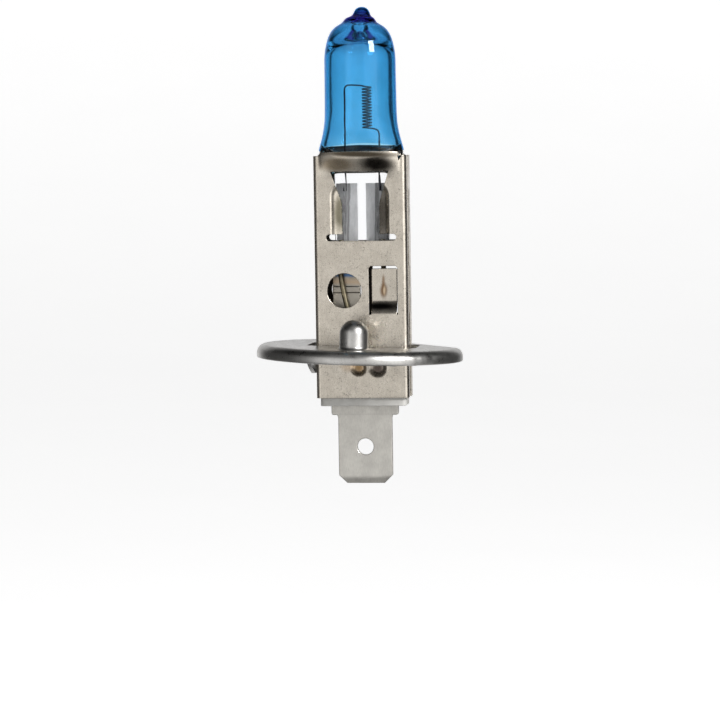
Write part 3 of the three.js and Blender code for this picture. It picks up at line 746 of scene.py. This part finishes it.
def on_wall(s, v):
    """A place on the wrapped sheet: s along it, from the front's middle towards +X, and v out of it."""
    if s < -(FACE + TURN + SIDE / 2):
        x, y, nx, ny = on_wall(s - BACK_MIDDLE, v)
        return -x, -y, -nx, -ny
    side = 1 if s >= 0 else -1
    s = abs(s)
    if s <= FACE:
        return side * s, -WALL_Y - v, 0, -1
    if s <= FACE + TURN:
        a = (s - FACE) / BEND
        nx, ny = math.sin(a), -math.cos(a)
        return side * (FACE + (BEND + v) * nx), -(WALL_Y - BEND) + (BEND + v) * ny, side * nx, ny
    return side * (WALL_X + v), -(WALL_Y - BEND) + (s - FACE - TURN), side, 0


def window_half(z):
    return WINDOW_HALF + (WINDOW_TOP_HALF - WINDOW_HALF) * clamp((z - KNEE) / (WINDOW_TOP - KNEE))


def crimp(x, z, reach):
    """The shallow oval hollow about the two dents."""
    return smooth(reach - math.hypot(x / 2.9, (z + 2.6) / 2.6))


def pressed(x, z):
    """How far a wall is pressed out (or, below zero, in) at a place; x is from the wall's middle."""
    out = 0.0
    if z > WINDOW_TOP - 1.2:
        along = min(1.0, abs(x) / COLLAR_HALF)
        crease = 21.7 + 0.6 * along**2
        start = WINDOW_TOP - 0.9
        rise = clamp((z - start) / (crease - start))
        out += COLLAR_BULGE * (1 - along**2) ** 0.7 * lerp(rise, smooth(rise), 0.15)
    if SLOT_LOW < z < WINDOW_TOP:
        sunk = smooth((18.8 - z) / 0.9)
        inward = clamp((HINGE - abs(x)) / (HINGE - WINDOW_HALF))
        edge = smooth((HINGE - 0.05 - abs(x) - 0.55 * clamp((z - 17.3) / 1.3) ** 2) / 0.5)
        out -= sunk * edge * (0.2 + 0.58 * inward)
    return out - 0.12 * crimp(x, z, 1.4)


def tongue_in(z):
    """The ground tongue leans in from its foot and then stands upright against the lead."""
    t = clamp((z - TONGUE_LOW - 0.1) / 1.45)
    return TONGUE_DEPTH * lerp(t, smooth(t), 0.25)


def dents(x, z, reach):
    """How deep each of the two round dents is, where the sleeve is crimped on the insulator."""
    places = ((-0.42, 0.98), (1.8, 1.1))
    return [smooth((reach - math.hypot(x - place, z + 2.5) / r) / 0.5) for place, r in places]


def window_loop(x0):
    """A window round x0: a trapezoid on straight sides, on a wide slot with round ends."""
    right = [
        (WINDOW_HALF, SLOT_HIGH), (WINDOW_HALF, KNEE - 0.5), (WINDOW_HALF + 0.03, KNEE),
        (window_half(KNEE + 0.6), KNEE + 0.6), (WINDOW_TOP_HALF, WINDOW_TOP),
    ]
    r, middle = (SLOT_HIGH - SLOT_LOW) / 2, x0 + SLOT_X
    loop = arc(middle + SLOT_HALF - r, SLOT_LOW + r, r, -90, 90, 8)
    loop += [(x0 + x, z) for x, z in right]
    loop += [(x0 - x, z) for x, z in reversed(right)]
    return loop + arc(middle - SLOT_HALF + r, SLOT_LOW + r, r, 90, 270, 8)


def tongue_loop():
    """The lanced slot on three sides of the tongue."""
    left, right = TONGUE_X - TONGUE_WIDTH / 2, TONGUE_X + TONGUE_WIDTH / 2
    a, b, top = left + 0.27, right - 0.13, TONGUE_HIGH - 0.3
    low = TONGUE_LOW
    loop = [(left, low), (a, low), (a, top - 0.12), (a + 0.12, top)]
    loop += [(b - 0.12, top), (b, top - 0.12), (b, low)]
    loop += [(right, low), (right, TONGUE_HIGH - 0.2), (right - 0.2, TONGUE_HIGH)]
    loop += [(left + 0.2, TONGUE_HIGH), (left, TONGUE_HIGH - 0.2)]
    return loop


def make_sleeve(material, inside):
    lip = []
    for i in range(25):
        x = lerp(COLLAR_HALF + 0.15, -COLLAR_HALF - 0.15, i / 24)
        edge = clamp((COLLAR_HALF + 0.15 - abs(x)) / 0.25)
        lip.append((x, SLEEVE_TOP + LIP * smooth(edge) * (0.75 + 0.25 * (1 - (x / COLLAR_HALF) ** 2))))
    outline = [(seam_back(SLEEVE_BOTTOM), SLEEVE_BOTTOM)]
    outline += [(SEAM_FRONT, SLEEVE_BOTTOM), (SEAM_FRONT, SLEEVE_TOP)]
    outline += lip + [(x + BACK_MIDDLE, z) for x, z in lip]
    outline += [(seam_back(SLEEVE_TOP), SLEEVE_TOP)]
    holes = [window_loop(0.0), window_loop(BACK_MIDDLE), tongue_loop()]
    holes += [arc(x, HOLE_Z, HOLE_R, 0, 352.5, 47) for x in (HOLE_X, BACK_MIDDLE - HOLE_X)]
    middle = (TONGUE_LOW + TONGUE_HIGH) / 2
    height = TONGUE_HIGH - TONGUE_LOW
    holes.append(rounded_rect(BACK_MIDDLE - TONGUE_X, middle, TONGUE_WIDTH, height, 0.25, 4))
    holes.append([(4.4, 21.98), (4.52, 21.2), (4.92, 21.8), (4.86, 22.0)])
    bm = plate(outline, holes, SHEET, 0.05, 2)
    for middle in (0.0, BACK_MIDDLE):
        grid_cut(bm, 0, [middle + x for x in steps_between(-FACE, FACE, 0.18)])
    for corner in (FACE, -FACE - TURN, BACK_MIDDLE + FACE, BACK_MIDDLE - FACE - TURN):
        grid_cut(bm, 0, steps_between(corner, corner + TURN, TURN / 6))
    grid_cut(bm, 1, steps_between(-5.2, -0.4, 0.14) + steps_between(TONGUE_LOW, TONGUE_HIGH, 0.14))
    grid_cut(bm, 1, steps_between(SLOT_HIGH, SLEEVE_TOP + LIP, 0.22))
    # The inner faces take the second material, which is painted nearly black as shade inside the sleeve.
    for face in bm.faces:
        face.material_index = int(face.normal.z > 0.9)
    for vert in bm.verts:
        s, z, v = vert.co
        v = -v
        front = abs(s) <= FACE + 0.01
        back = abs(s - BACK_MIDDLE) <= FACE + 0.01
        x, y, nx, ny = on_wall(s, v)
        if front or back:
            across = s if front else s - BACK_MIDDLE
            out = pressed(across, z)
            left, right = TONGUE_X - TONGUE_WIDTH / 2 + 0.2, TONGUE_X + TONGUE_WIDTH / 2 - 0.06
            if left < across < right and TONGUE_LOW < z < TONGUE_HIGH - 0.2 and front:
                out -= tongue_in(z)
            if front:
                out -= 0.34 * sum(dents(across, z, 1))
            x, y = x + nx * out, y + ny * out
        vert.co = (x, y, z)
    sheet_piece("sleeve_sheet", bm, [material, inside], "sleeve", 50)


# Heat tint, painted shade and painted reflections on the sheet: the crimps, the tongue, the flaps and the
# collar.
sleeve_tints_and_painted_shade = [
    ((0.12, -2.2, -2.5), 1.15, (1, 1, 1), (0.3, 0.18, 0.07), 0.9),
    # Painted shade: the right dent's hollow is painted nearly black.
    ((2.32, -2.2, -2.5), 1.3, (1, 1, 1), (0.06, 0.04, 0.035), 0.92),
    ((-1.1, -2.4, -2.3), 1.3, (1, 1, 1.3), (0.5, 0.32, 0.16), 0.35),
    ((2.78, -1.5, 6.5), 1.3, (2.2, 1, 1.1), (0.16, 0.08, 0.03), 0.9),
    ((2.72, -1.5, 7.5), 1.1, (4.4, 1, 1.0), (0.2, 0.1, 0.035), 0.7),
    ((2.85, -1.5, 6.5), 0.7, (3.4, 1, 1.0), (0.7, 0.55, 0.38), 0.8),
    # Painted reflection: the tongue's lower bend, where it faces the dim ceiling, is painted nearly black.
    ((TONGUE_X, -1.6, 4.55), 2.4, (0.6, 2.5, 2.6), (0.012, 0.011, 0.01), 1.0),
    # Painted shade: both sunk flaps beside the window are darkened to a deep olive grey.
    ((-2.45, -1.3, 15.4), 4.2, (3.0, 2.2, 1.1), (0.11, 0.1, 0.07), 0.95),
    ((2.6, -1.3, 15.4), 4.2, (3.0, 2.2, 1.1), (0.11, 0.095, 0.075), 0.8),
    ((-2.8, -3.0, 20.9), 4.6, (1.5, 0.5, 3.6), (0.2, 0.15, 0.09), 0.8),
    # Painted reflection: the collar's right half below its crease is painted nearly black.
    ((2.0, -3.0, 21.05), 3.3, (1.15, 0.5, 2.6), (0.02, 0.016, 0.012), 0.95),
    ((-0.3, -3.4, 22.14), 4.2, (0.6, 0.5, 8.0), (0.045, 0.034, 0.02), 0.95),
    ((1.0, 3.0, 21.0), 5.5, (0.5, 1, 3.2), (0.3, 0.22, 0.12), 0.75),
]
sleeve_metal = plated("nickel_sleeve", (0.72, 0.66, 0.57), (0.61, 0.555, 0.475), 0.27, sleeve_tints_and_painted_shade)
# The sleeve's inner face: the same nickel, painted nearly black as painted shade.
sleeve_inside_painted_shade = plated("nickel_inside_painted_shade", (0.07, 0.06, 0.05), (0.04, 0.035, 0.03), 0.6)
make_sleeve(sleeve_metal, sleeve_inside_painted_shade)


# ---- flange
FLANGE_R, FLAT, FLAT_CORNER = 12.0, 8.95, 1.3
RIM_DROP, RIM_BEND, PLATE = 1.55, 1.0, 0.5
OPEN_X, OPEN_WIDTH, OPEN_DEPTH, OPEN_CORNER = 0.4, 12.6, 6.7, 1.1
BOSS_R, BOSS_STRAIGHT, BOSS_HEIGHT, BOSS_WALL, BOSS_FOOT = 1.66, 1.75, 3.3, 0.4, 2.45
BOSSES = ((0.1, -6.9), (-2.9, 7.3))
TAB_WIDTH, TAB_PITCH, TAB_SHEET, TAB_BEND, TAB_REACH = 2.13, 3.7, 0.45, 0.72, 2.2
BOSS_SIDES = 64


def rim_loop(inset):
    """The flange's outline moved in: a circle with a flat at 45 degrees and rounded corners to it."""
    u = FLAT - FLAT_CORNER
    v = math.sqrt((FLANGE_R - FLAT_CORNER) ** 2 - u**2)
    join = math.degrees(math.atan2(v, u))
    loop = arc(0, 0, FLANGE_R - inset, join, 360 - join, 180)[:-1]
    loop += arc(u, -v, FLAT_CORNER - inset, -join, 0, 8)[:-1]
    loop += [(FLAT - inset, lerp(-v, v, i / 24)) for i in range(24)]
    loop += arc(u, v, FLAT_CORNER - inset, 0, join, 8)[:-1]
    c = math.cos(math.pi / 4)
    return [(c * (x - y), c * (x + y)) for x, y in loop]


def inside_loop(loop, x, y):
    crossed = False
    for (ax, ay), (bx, by) in zip(loop, loop[1:] + loop[:1]):
        if (ay > y) != (by > y) and x < ax + (bx - ax) * (y - ay) / (by - ay):
            crossed = not crossed
    return crossed


def from_edge(x, y):
    return min(FLANGE_R - math.hypot(x, y), FLAT - (x + y) / math.sqrt(2))


def dished(x, y):
    """A shallow round dish pressed into the plate about each boss."""
    inner = smooth((from_edge(x, y) - RIM_BEND) / 0.7)
    return -0.1 * inner * max(smooth((3.75 - math.hypot(x - bx, y - by)) / 0.7) for bx, by in BOSSES)


def at_level(loop, z):
    return [(x, y, z) for x, y in loop]


def quads(bm, rows):
    """Adds faces between closed rows of corners."""
    for a, b in zip(rows, rows[1:]):
        n = len(a)
        for i in range(n):
            bm.faces.new((a[i], a[(i + 1) % n], b[(i + 1) % n], b[i]))


def flange_plate():
    """The plate with its rim, its opening and its two hollow bosses, as one closed bmesh."""
    bm = bmesh.new()
    outer = rim_loop(RIM_BEND)

    def opening(e):
        return rounded_rect(OPEN_X, 0, OPEN_WIDTH + 2 * e, OPEN_DEPTH + 2 * e, OPEN_CORNER + e, 8)

    feet = [arc(x, y, BOSS_FOOT, 0, 360, BOSS_SIDES)[:-1] for x, y in BOSSES]
    loops = [outer, opening(0.08), *feet]
    points, edges = [], []
    for loop in loops:
        start, n = len(points), len(loop)
        points += loop
        edges += [(start + i, start + (i + 1) % n) for i in range(n)]
    clear = 0.15
    for x, y in BOSSES:
        for r in (2.7, 2.95, 3.15, 3.35, 3.55, 3.75, 3.95):
            for near in arc(x, y, r, 0, 360, 60)[:-1]:
                if from_edge(*near) > RIM_BEND + clear and not inside_loop(opening(0.08 + clear), *near):
                    points.append(near)
    flat, _, triangles, *_ = mathutils.geometry.delaunay_2d_cdt(
        [Vector(p) for p in points], edges, [], 0, 1e-7
    )
    top = [bm.verts.new((p.x, p.y, 0)) for p in flat]
    low = [bm.verts.new((p.x, p.y, -PLATE)) for p in flat]
    for triangle in triangles:
        x, y = (sum(flat[i][axis] for i in triangle) / 3 for axis in (0, 1))
        if inside_loop(outer, x, y) and not any(inside_loop(hole, x, y) for hole in loops[1:]):
            bm.faces.new([top[i] for i in triangle])
            bm.faces.new([low[i] for i in reversed(triangle)])

    def skin(first, rings, last):
        """Quads through rings of points, from one row of the plate's own corners to another."""
        rows = [first] + [[bm.verts.new(p) for p in ring] for ring in rings] + ([last] if last else [])
        quads(bm, rows)
        return rows[-1]

    n = len(outer)
    turn = [i * math.pi / 16 for i in range(1, 9)]
    section = [(RIM_BEND * (1 - math.sin(a)), RIM_BEND * (math.cos(a) - 1)) for a in turn]
    e, under = 0.13, -RIM_DROP
    section += [(0, under + e), (0.04, under + 0.04), (e, under)]
    section += [(PLATE - e, under), (PLATE - 0.04, under + 0.04), (PLATE, under + e)]
    r = RIM_BEND - PLATE
    section += [(RIM_BEND - r * math.sin(a), -RIM_BEND + r * math.cos(a)) for a in reversed(turn)]
    skin(top[:n], [at_level(rim_loop(i), z) for i, z in section], low[:n])
    m = len(loops[1])
    wall = [(0.023, -0.023), (0, -0.08), (0, 0.08 - PLATE), (0.023, 0.023 - PLATE)]
    skin(top[n:n + m], [at_level(opening(i), z) for i, z in wall], low[n:n + m])
    quarter = [i * math.pi / 16 for i in range(9)]
    fillet, mouth = 0.44, (1.04, 0.9)
    hollow = BOSS_R - BOSS_WALL
    outside = [(BOSS_R + fillet * (1 - math.sin(a)), fillet * (1 - math.cos(a))) for a in quarter]
    dome = BOSS_HEIGHT - BOSS_STRAIGHT
    outside += [(BOSS_R * math.cos(a), BOSS_STRAIGHT + dome * math.sin(a)) for a in quarter[:-1]]
    inside = [(hollow + mouth[0] * (1 - math.sin(a)), mouth[1] * (1 - math.cos(a)) - PLATE) for a in quarter]
    dome -= BOSS_WALL
    inside += [(hollow * math.cos(a), BOSS_STRAIGHT + dome * math.sin(a)) for a in quarter[:-1]]
    for k, (x, y) in enumerate(BOSSES):
        start = n + m + k * BOSS_SIDES
        for side, profile in ((top, outside), (low, inside)):
            rings = [at_level(arc(x, y, r, 0, 360, BOSS_SIDES)[:-1], z) for r, z in profile]
            end = skin(side[start:start + BOSS_SIDES], rings, None)
            peak = bm.verts.new((x, y, BOSS_HEIGHT if side is top else BOSS_HEIGHT - BOSS_WALL))
            for i in range(BOSS_SIDES):
                bm.faces.new((end[i], end[(i + 1) % BOSS_SIDES], peak))
    for vert in bm.verts[:]:
        if not vert.link_faces:
            bm.verts.remove(vert)
        else:
            vert.co.z += dished(vert.co.x, vert.co.y) if vert.co.z < 1 else 0
    bmesh.ops.recalc_face_normals(bm, faces=bm.faces)
    return bm


def swept(bm, rings):
    """Adds a closed body through rings of points."""
    rows = [[bm.verts.new(p) for p in ring] for ring in rings]
    quads(bm, rows)
    bm.faces.new(rows[0])
    bm.faces.new(list(reversed(rows[-1])))


def followed(path):
    """Each place on a path of (out, z), with its number and the direction of the path there."""
    for i, (o, z) in enumerate(path):
        a, b = path[max(0, i - 1)], path[min(len(path) - 1, i + 1)]
        yield i, o, z, Vector((b[0] - a[0], b[1] - a[1])).normalized()


def bent_strip(bm, path, half_widths, sheet, place):
    """A strip of sheet along a path of (out, z); place turns (across, out, z) into a point."""
    rings = []
    for i, o, z, run in followed(path):
        section = rounded_rect(0, 0, 2 * half_widths[i], sheet, 0.1, 3)
        rings.append([place(u, o - v * run.y, z + v * run.x) for u, v in section])
    swept(bm, rings)


def side_lip(bm, side, reach, curl):
    """The lip of one short side, which curls in beside the sleeve and hooks round at both its ends."""
    edge, half, thick = OPEN_WIDTH / 2, 2.35, 0.2
    path = [(edge + 0.45, -0.25), (edge + 0.22, -0.3), (edge + 0.06, -0.45), (edge, -0.8), (edge, -1.2)]
    path += [(edge - curl * (t / 8) ** 2, lerp(-1.2, -reach, t / 8)) for t in range(1, 9)]
    rings = []
    for i, o, z, run in followed(path):
        narrow = 0.55 * clamp((i - 5) / 7) ** 3
        hook = 0.5 * smooth((i - 2) / 3)
        ring = []
        for face in (1, -1):
            for k in range(25):
                u = face * lerp(-1, 1, k / 24)
                round_edge = 0.06 if k in (0, 24) else 0.0
                v = face * (thick - round_edge)
                inward = hook * smooth((abs(u) - 0.8) / 0.2)
                across = u * (half - narrow)
                x = OPEN_X + side * (o - v * run.y - inward)
                ring.append((x, across, z + v * run.x))
        rings.append(ring)
    swept(bm, rings)


def flange_tabs():
    """The six weld tabs along the opening's long sides and the curled lip at each short side."""
    bm = bmesh.new()
    middle = TAB_BEND - TAB_SHEET / 2
    inner = SLEEVE_DEPTH / 2 + 0.04
    centre = inner + TAB_BEND
    path = [(centre + 0.75, -TAB_SHEET / 2 - 0.02)]
    for i in range(9):
        a = i * math.pi / 16
        path.append((centre - middle * math.sin(a), -TAB_BEND - 0.02 + middle * math.cos(a)))
    straight = [-1.1, -1.45, -1.6, -1.75, -1.9, -2.02, -2.11, -2.17, -TAB_REACH]
    path += [(inner + TAB_SHEET / 2, z) for z in straight]
    half, end = TAB_WIDTH / 2, 0.75
    widths = [
        half * math.sqrt(max(0.06, 1 - max(0.0, 1 - (z + TAB_REACH) / end) ** 2)) for _, z in path
    ]
    for side in (-1, 1):
        for i in (-1, 0, 1):
            x = OPEN_X + i * TAB_PITCH
            bent_strip(bm, path, widths, TAB_SHEET, lambda u, o, z: (x + side * u, side * o, z))
    for side, reach, curl in ((-1, 3.2, 0.6), (1, 2.1, 0.15)):
        side_lip(bm, side, reach, curl)
    bmesh.ops.recalc_face_normals(bm, faces=bm.faces)
    return bm


def united(a, b):
    """The union of two closed bmeshes, as one bmesh."""
    objects = []
    for bm in (a, b):
        mesh = bpy.data.meshes.new("part")
        bm.to_mesh(mesh)
        bm.free()
        objects.append(placed("part", mesh))
    join = objects[0].modifiers.new("join", "BOOLEAN")
    join.operation, join.solver, join.object = "UNION", "EXACT", objects[1]
    bm = evaluated(objects[0])
    for obj in objects:
        bpy.data.meshes.remove(obj.data)
    return bm


flange_metal = plated("nickel_flange", (0.6, 0.59, 0.57), (0.5, 0.49, 0.47), 0.31, speckle=0.45)
flange = united(flange_plate(), flange_tabs())
sheet_piece("flange_cap", flange, [flange_metal], "flange", 35, Matrix.Identity(4))

# ---- insulator
BLOCK_WIDTH, BLOCK_DEPTH, BLOCK_LOW, BLOCK_HIGH = 10.0, 3.7, -6.95, -0.8
SHOULDER_WIDTH, SHOULDER_TOP = 7.85, -2.2


def make_insulator():
    outline = rounded_rect(0, 0, BLOCK_WIDTH, BLOCK_DEPTH, 0.45, 6)
    slot = rounded_rect(0, 0, SHOULDER_WIDTH + 0.12, BLADE_THICK + 0.12, 0.1, 3)
    height = BLOCK_HIGH - BLOCK_LOW
    bm = plate(outline, [slot], height, 0.1, 3)
    for vert in bm.verts:
        vert.co.z += (BLOCK_HIGH + BLOCK_LOW) / 2
    grid_cut(bm, 2, steps_between(-4.9, -0.95, 0.25))
    grid_cut(bm, 0, steps_between(-4.4, 4.4, 0.25))
    for vert in bm.verts:
        x, y, z = vert.co
        if abs(y) > 1.2:
            own = x if y < 0 else -x
            press = 0.16 * crimp(own, z, 1.5)
            if y < 0:
                press += 0.4 * max(dents(own, z, 1.35))
            vert.co.y -= math.copysign(max(0.0, press - 0.1), y)
    look = Look("steatite", Roughness=0.62)
    tone = look.clouds((0.35, (0.5, 0.49, 0.46)), (0.65, (0.62, 0.61, 0.58)), 0.5, 5, 0.6)
    dust = look.clouds((0.62, 1.0), (0.75, (0.6, 0.56, 0.5)), 4, 5, 0.7)
    look.set(Base_Color=look.mix(tone, dust, 1.0, "MULTIPLY"))
    look.bump(look.noise(7, 4, 0.7), 0.35, 0.02)
    sheet_piece("insulator_block", bm, [look.material], "insulator", 40)


# ---- contact blade
BLADE_WIDTH, BLADE_TIP, SHOULDER, TIP_CHAMFER = 6.3, -16.07, -8.1, 0.95
STRIP_X, STRIP_WIDTH, STRIP_TOP, RIDGE_Z, RIDGE = -1.95, 3.2, 8.6, 6.5, 0.74


def blade_outline():
    half, wide = BLADE_WIDTH / 2, SHOULDER_WIDTH / 2
    left, right = STRIP_X - STRIP_WIDTH / 2, STRIP_X + STRIP_WIDTH / 2
    r = 0.25
    loop = [(-half + TIP_CHAMFER, BLADE_TIP), (half - TIP_CHAMFER, BLADE_TIP)]
    loop += [(half, BLADE_TIP + TIP_CHAMFER)]
    loop += [(half, SHOULDER - 0.35), (half + 0.06, SHOULDER - 0.1), (half + 0.2, SHOULDER)]
    loop += arc(wide - r, SHOULDER + r, r, -90, 0, 4)
    loop += [(wide, SHOULDER_TOP), (right, SHOULDER_TOP), (right, STRIP_TOP)]
    loop += [(left, STRIP_TOP), (left, SHOULDER_TOP), (-wide, SHOULDER_TOP)]
    loop += arc(-wide + r, SHOULDER + r, r, 180, 270, 4)
    loop += [(-half - 0.2, SHOULDER), (-half - 0.06, SHOULDER - 0.1), (-half, SHOULDER - 0.35)]
    loop += [(-half, BLADE_TIP + TIP_CHAMFER)]
    return loop


def make_blade():
    bm = plate(blade_outline(), [arc(0, -11.8, 0.95, 0, 352.5, 47)], BLADE_THICK, 0.1, 3)
    grid_cut(bm, 1, steps_between(BLADE_TIP + 0.1, BLADE_TIP + 1.1, 0.25))
    grid_cut(bm, 1, steps_between(RIDGE_Z - 0.6, RIDGE_Z + 0.6, 0.06))
    for vert in bm.verts:
        x, z, y = vert.co
        y = -y
        y *= lerp(0.5, 1.0, smooth((z - BLADE_TIP) / 0.8))
        if z > RIDGE_Z - 0.7:
            rise = smooth((RIDGE / 2 + 0.06 - abs(z - RIDGE_Z)) / 0.12)
            y -= 0.13 * rise if y < 0 else 0
        vert.co = (x, y, z)
    look = Look("blade_plating", Metallic=0.85)
    colour = look.clouds((0.35, (0.55, 0.53, 0.49)), (0.65, (0.64, 0.62, 0.57)), 0.6, 5, 0.65)
    grain = look.clouds((0.3, 0.84), (0.6, 1.0), 5, 4, 0.7, (2.2, 1, 0.35))
    colour = look.mix(colour, grain, 1.0, "MULTIPLY")
    # Specks, then the strip's heat tints: brown all over, with a straw and a blue band near its end.
    specks = look.clouds((0.66, 0.0), (0.75, 0.6), 3.5, 5, 0.75)
    baked = look.ramp(look.height(-2.0, 4.0), [(0.0, 0.0), (1.0, 0.6)])
    straw = look.ramp(look.height(6.9, 8.2), [(0.0, 0.0), (0.3, 0.5), (0.6, 0.3), (0.75, 0.0)])
    blue = look.ramp(look.height(7.2, 8.6), [(0.0, 0.0), (0.45, 0.0), (0.6, 0.85), (1.0, 0.9)])
    tints = ((0.16, 0.14, 0.11), specks), ((0.3, 0.26, 0.2), baked)
    tints += ((0.6, 0.4, 0.22), straw), ((0.06, 0.17, 0.38), blue)
    for tint, where in tints:
        colour = look.mix(colour, tint, where)
    look.set(Base_Color=colour, Roughness=look.clouds((0.3, 0.3), (0.7, 0.42), 1.5, 4))
    look.bump(look.noise(6, 5, 0.65), 0.3, 0.015)
    sheet_piece("contact_blade_tab", bm, [look.material], "contact_blade", 40)


make_insulator()
make_blade()


# ---- floor
def make_floor():
    """A pale studio floor well below the lamp, which curves up into a back wall far behind it."""
    level, front, turn, rise = -75.0, -900.0, 900.0, 1500.0
    rows = [(front, 0.0), (turn, 0.0)]
    rows += [(turn + y, z) for y, z in arc(0, rise, rise, -90, 0, 32)[1:]]
    verts = [(x, y, level + z) for y, z in rows for x in (-1500, 1500)]
    faces = [(i, i + 1, i + 3, i + 2) for i in range(0, len(verts) - 2, 2)]
    mesh = bpy.data.meshes.new("floor")
    mesh.from_pydata([Vector(v) * MM for v in verts], [], faces)
    look = Look("pale_floor", Roughness=0.9, Emission_Color=(1, 1, 1), Emission_Strength=0.77)
    look.set(Base_Color=look.clouds((0.3, 0.9), (0.7, 0.94), 0.02, 3, 0.5))
    mesh.materials.append(look.material)
    mesh.shade_smooth()
    floor = placed("floor", mesh)
    floor.visible_diffuse = floor.visible_glossy = floor.visible_transmission = False


make_floor()
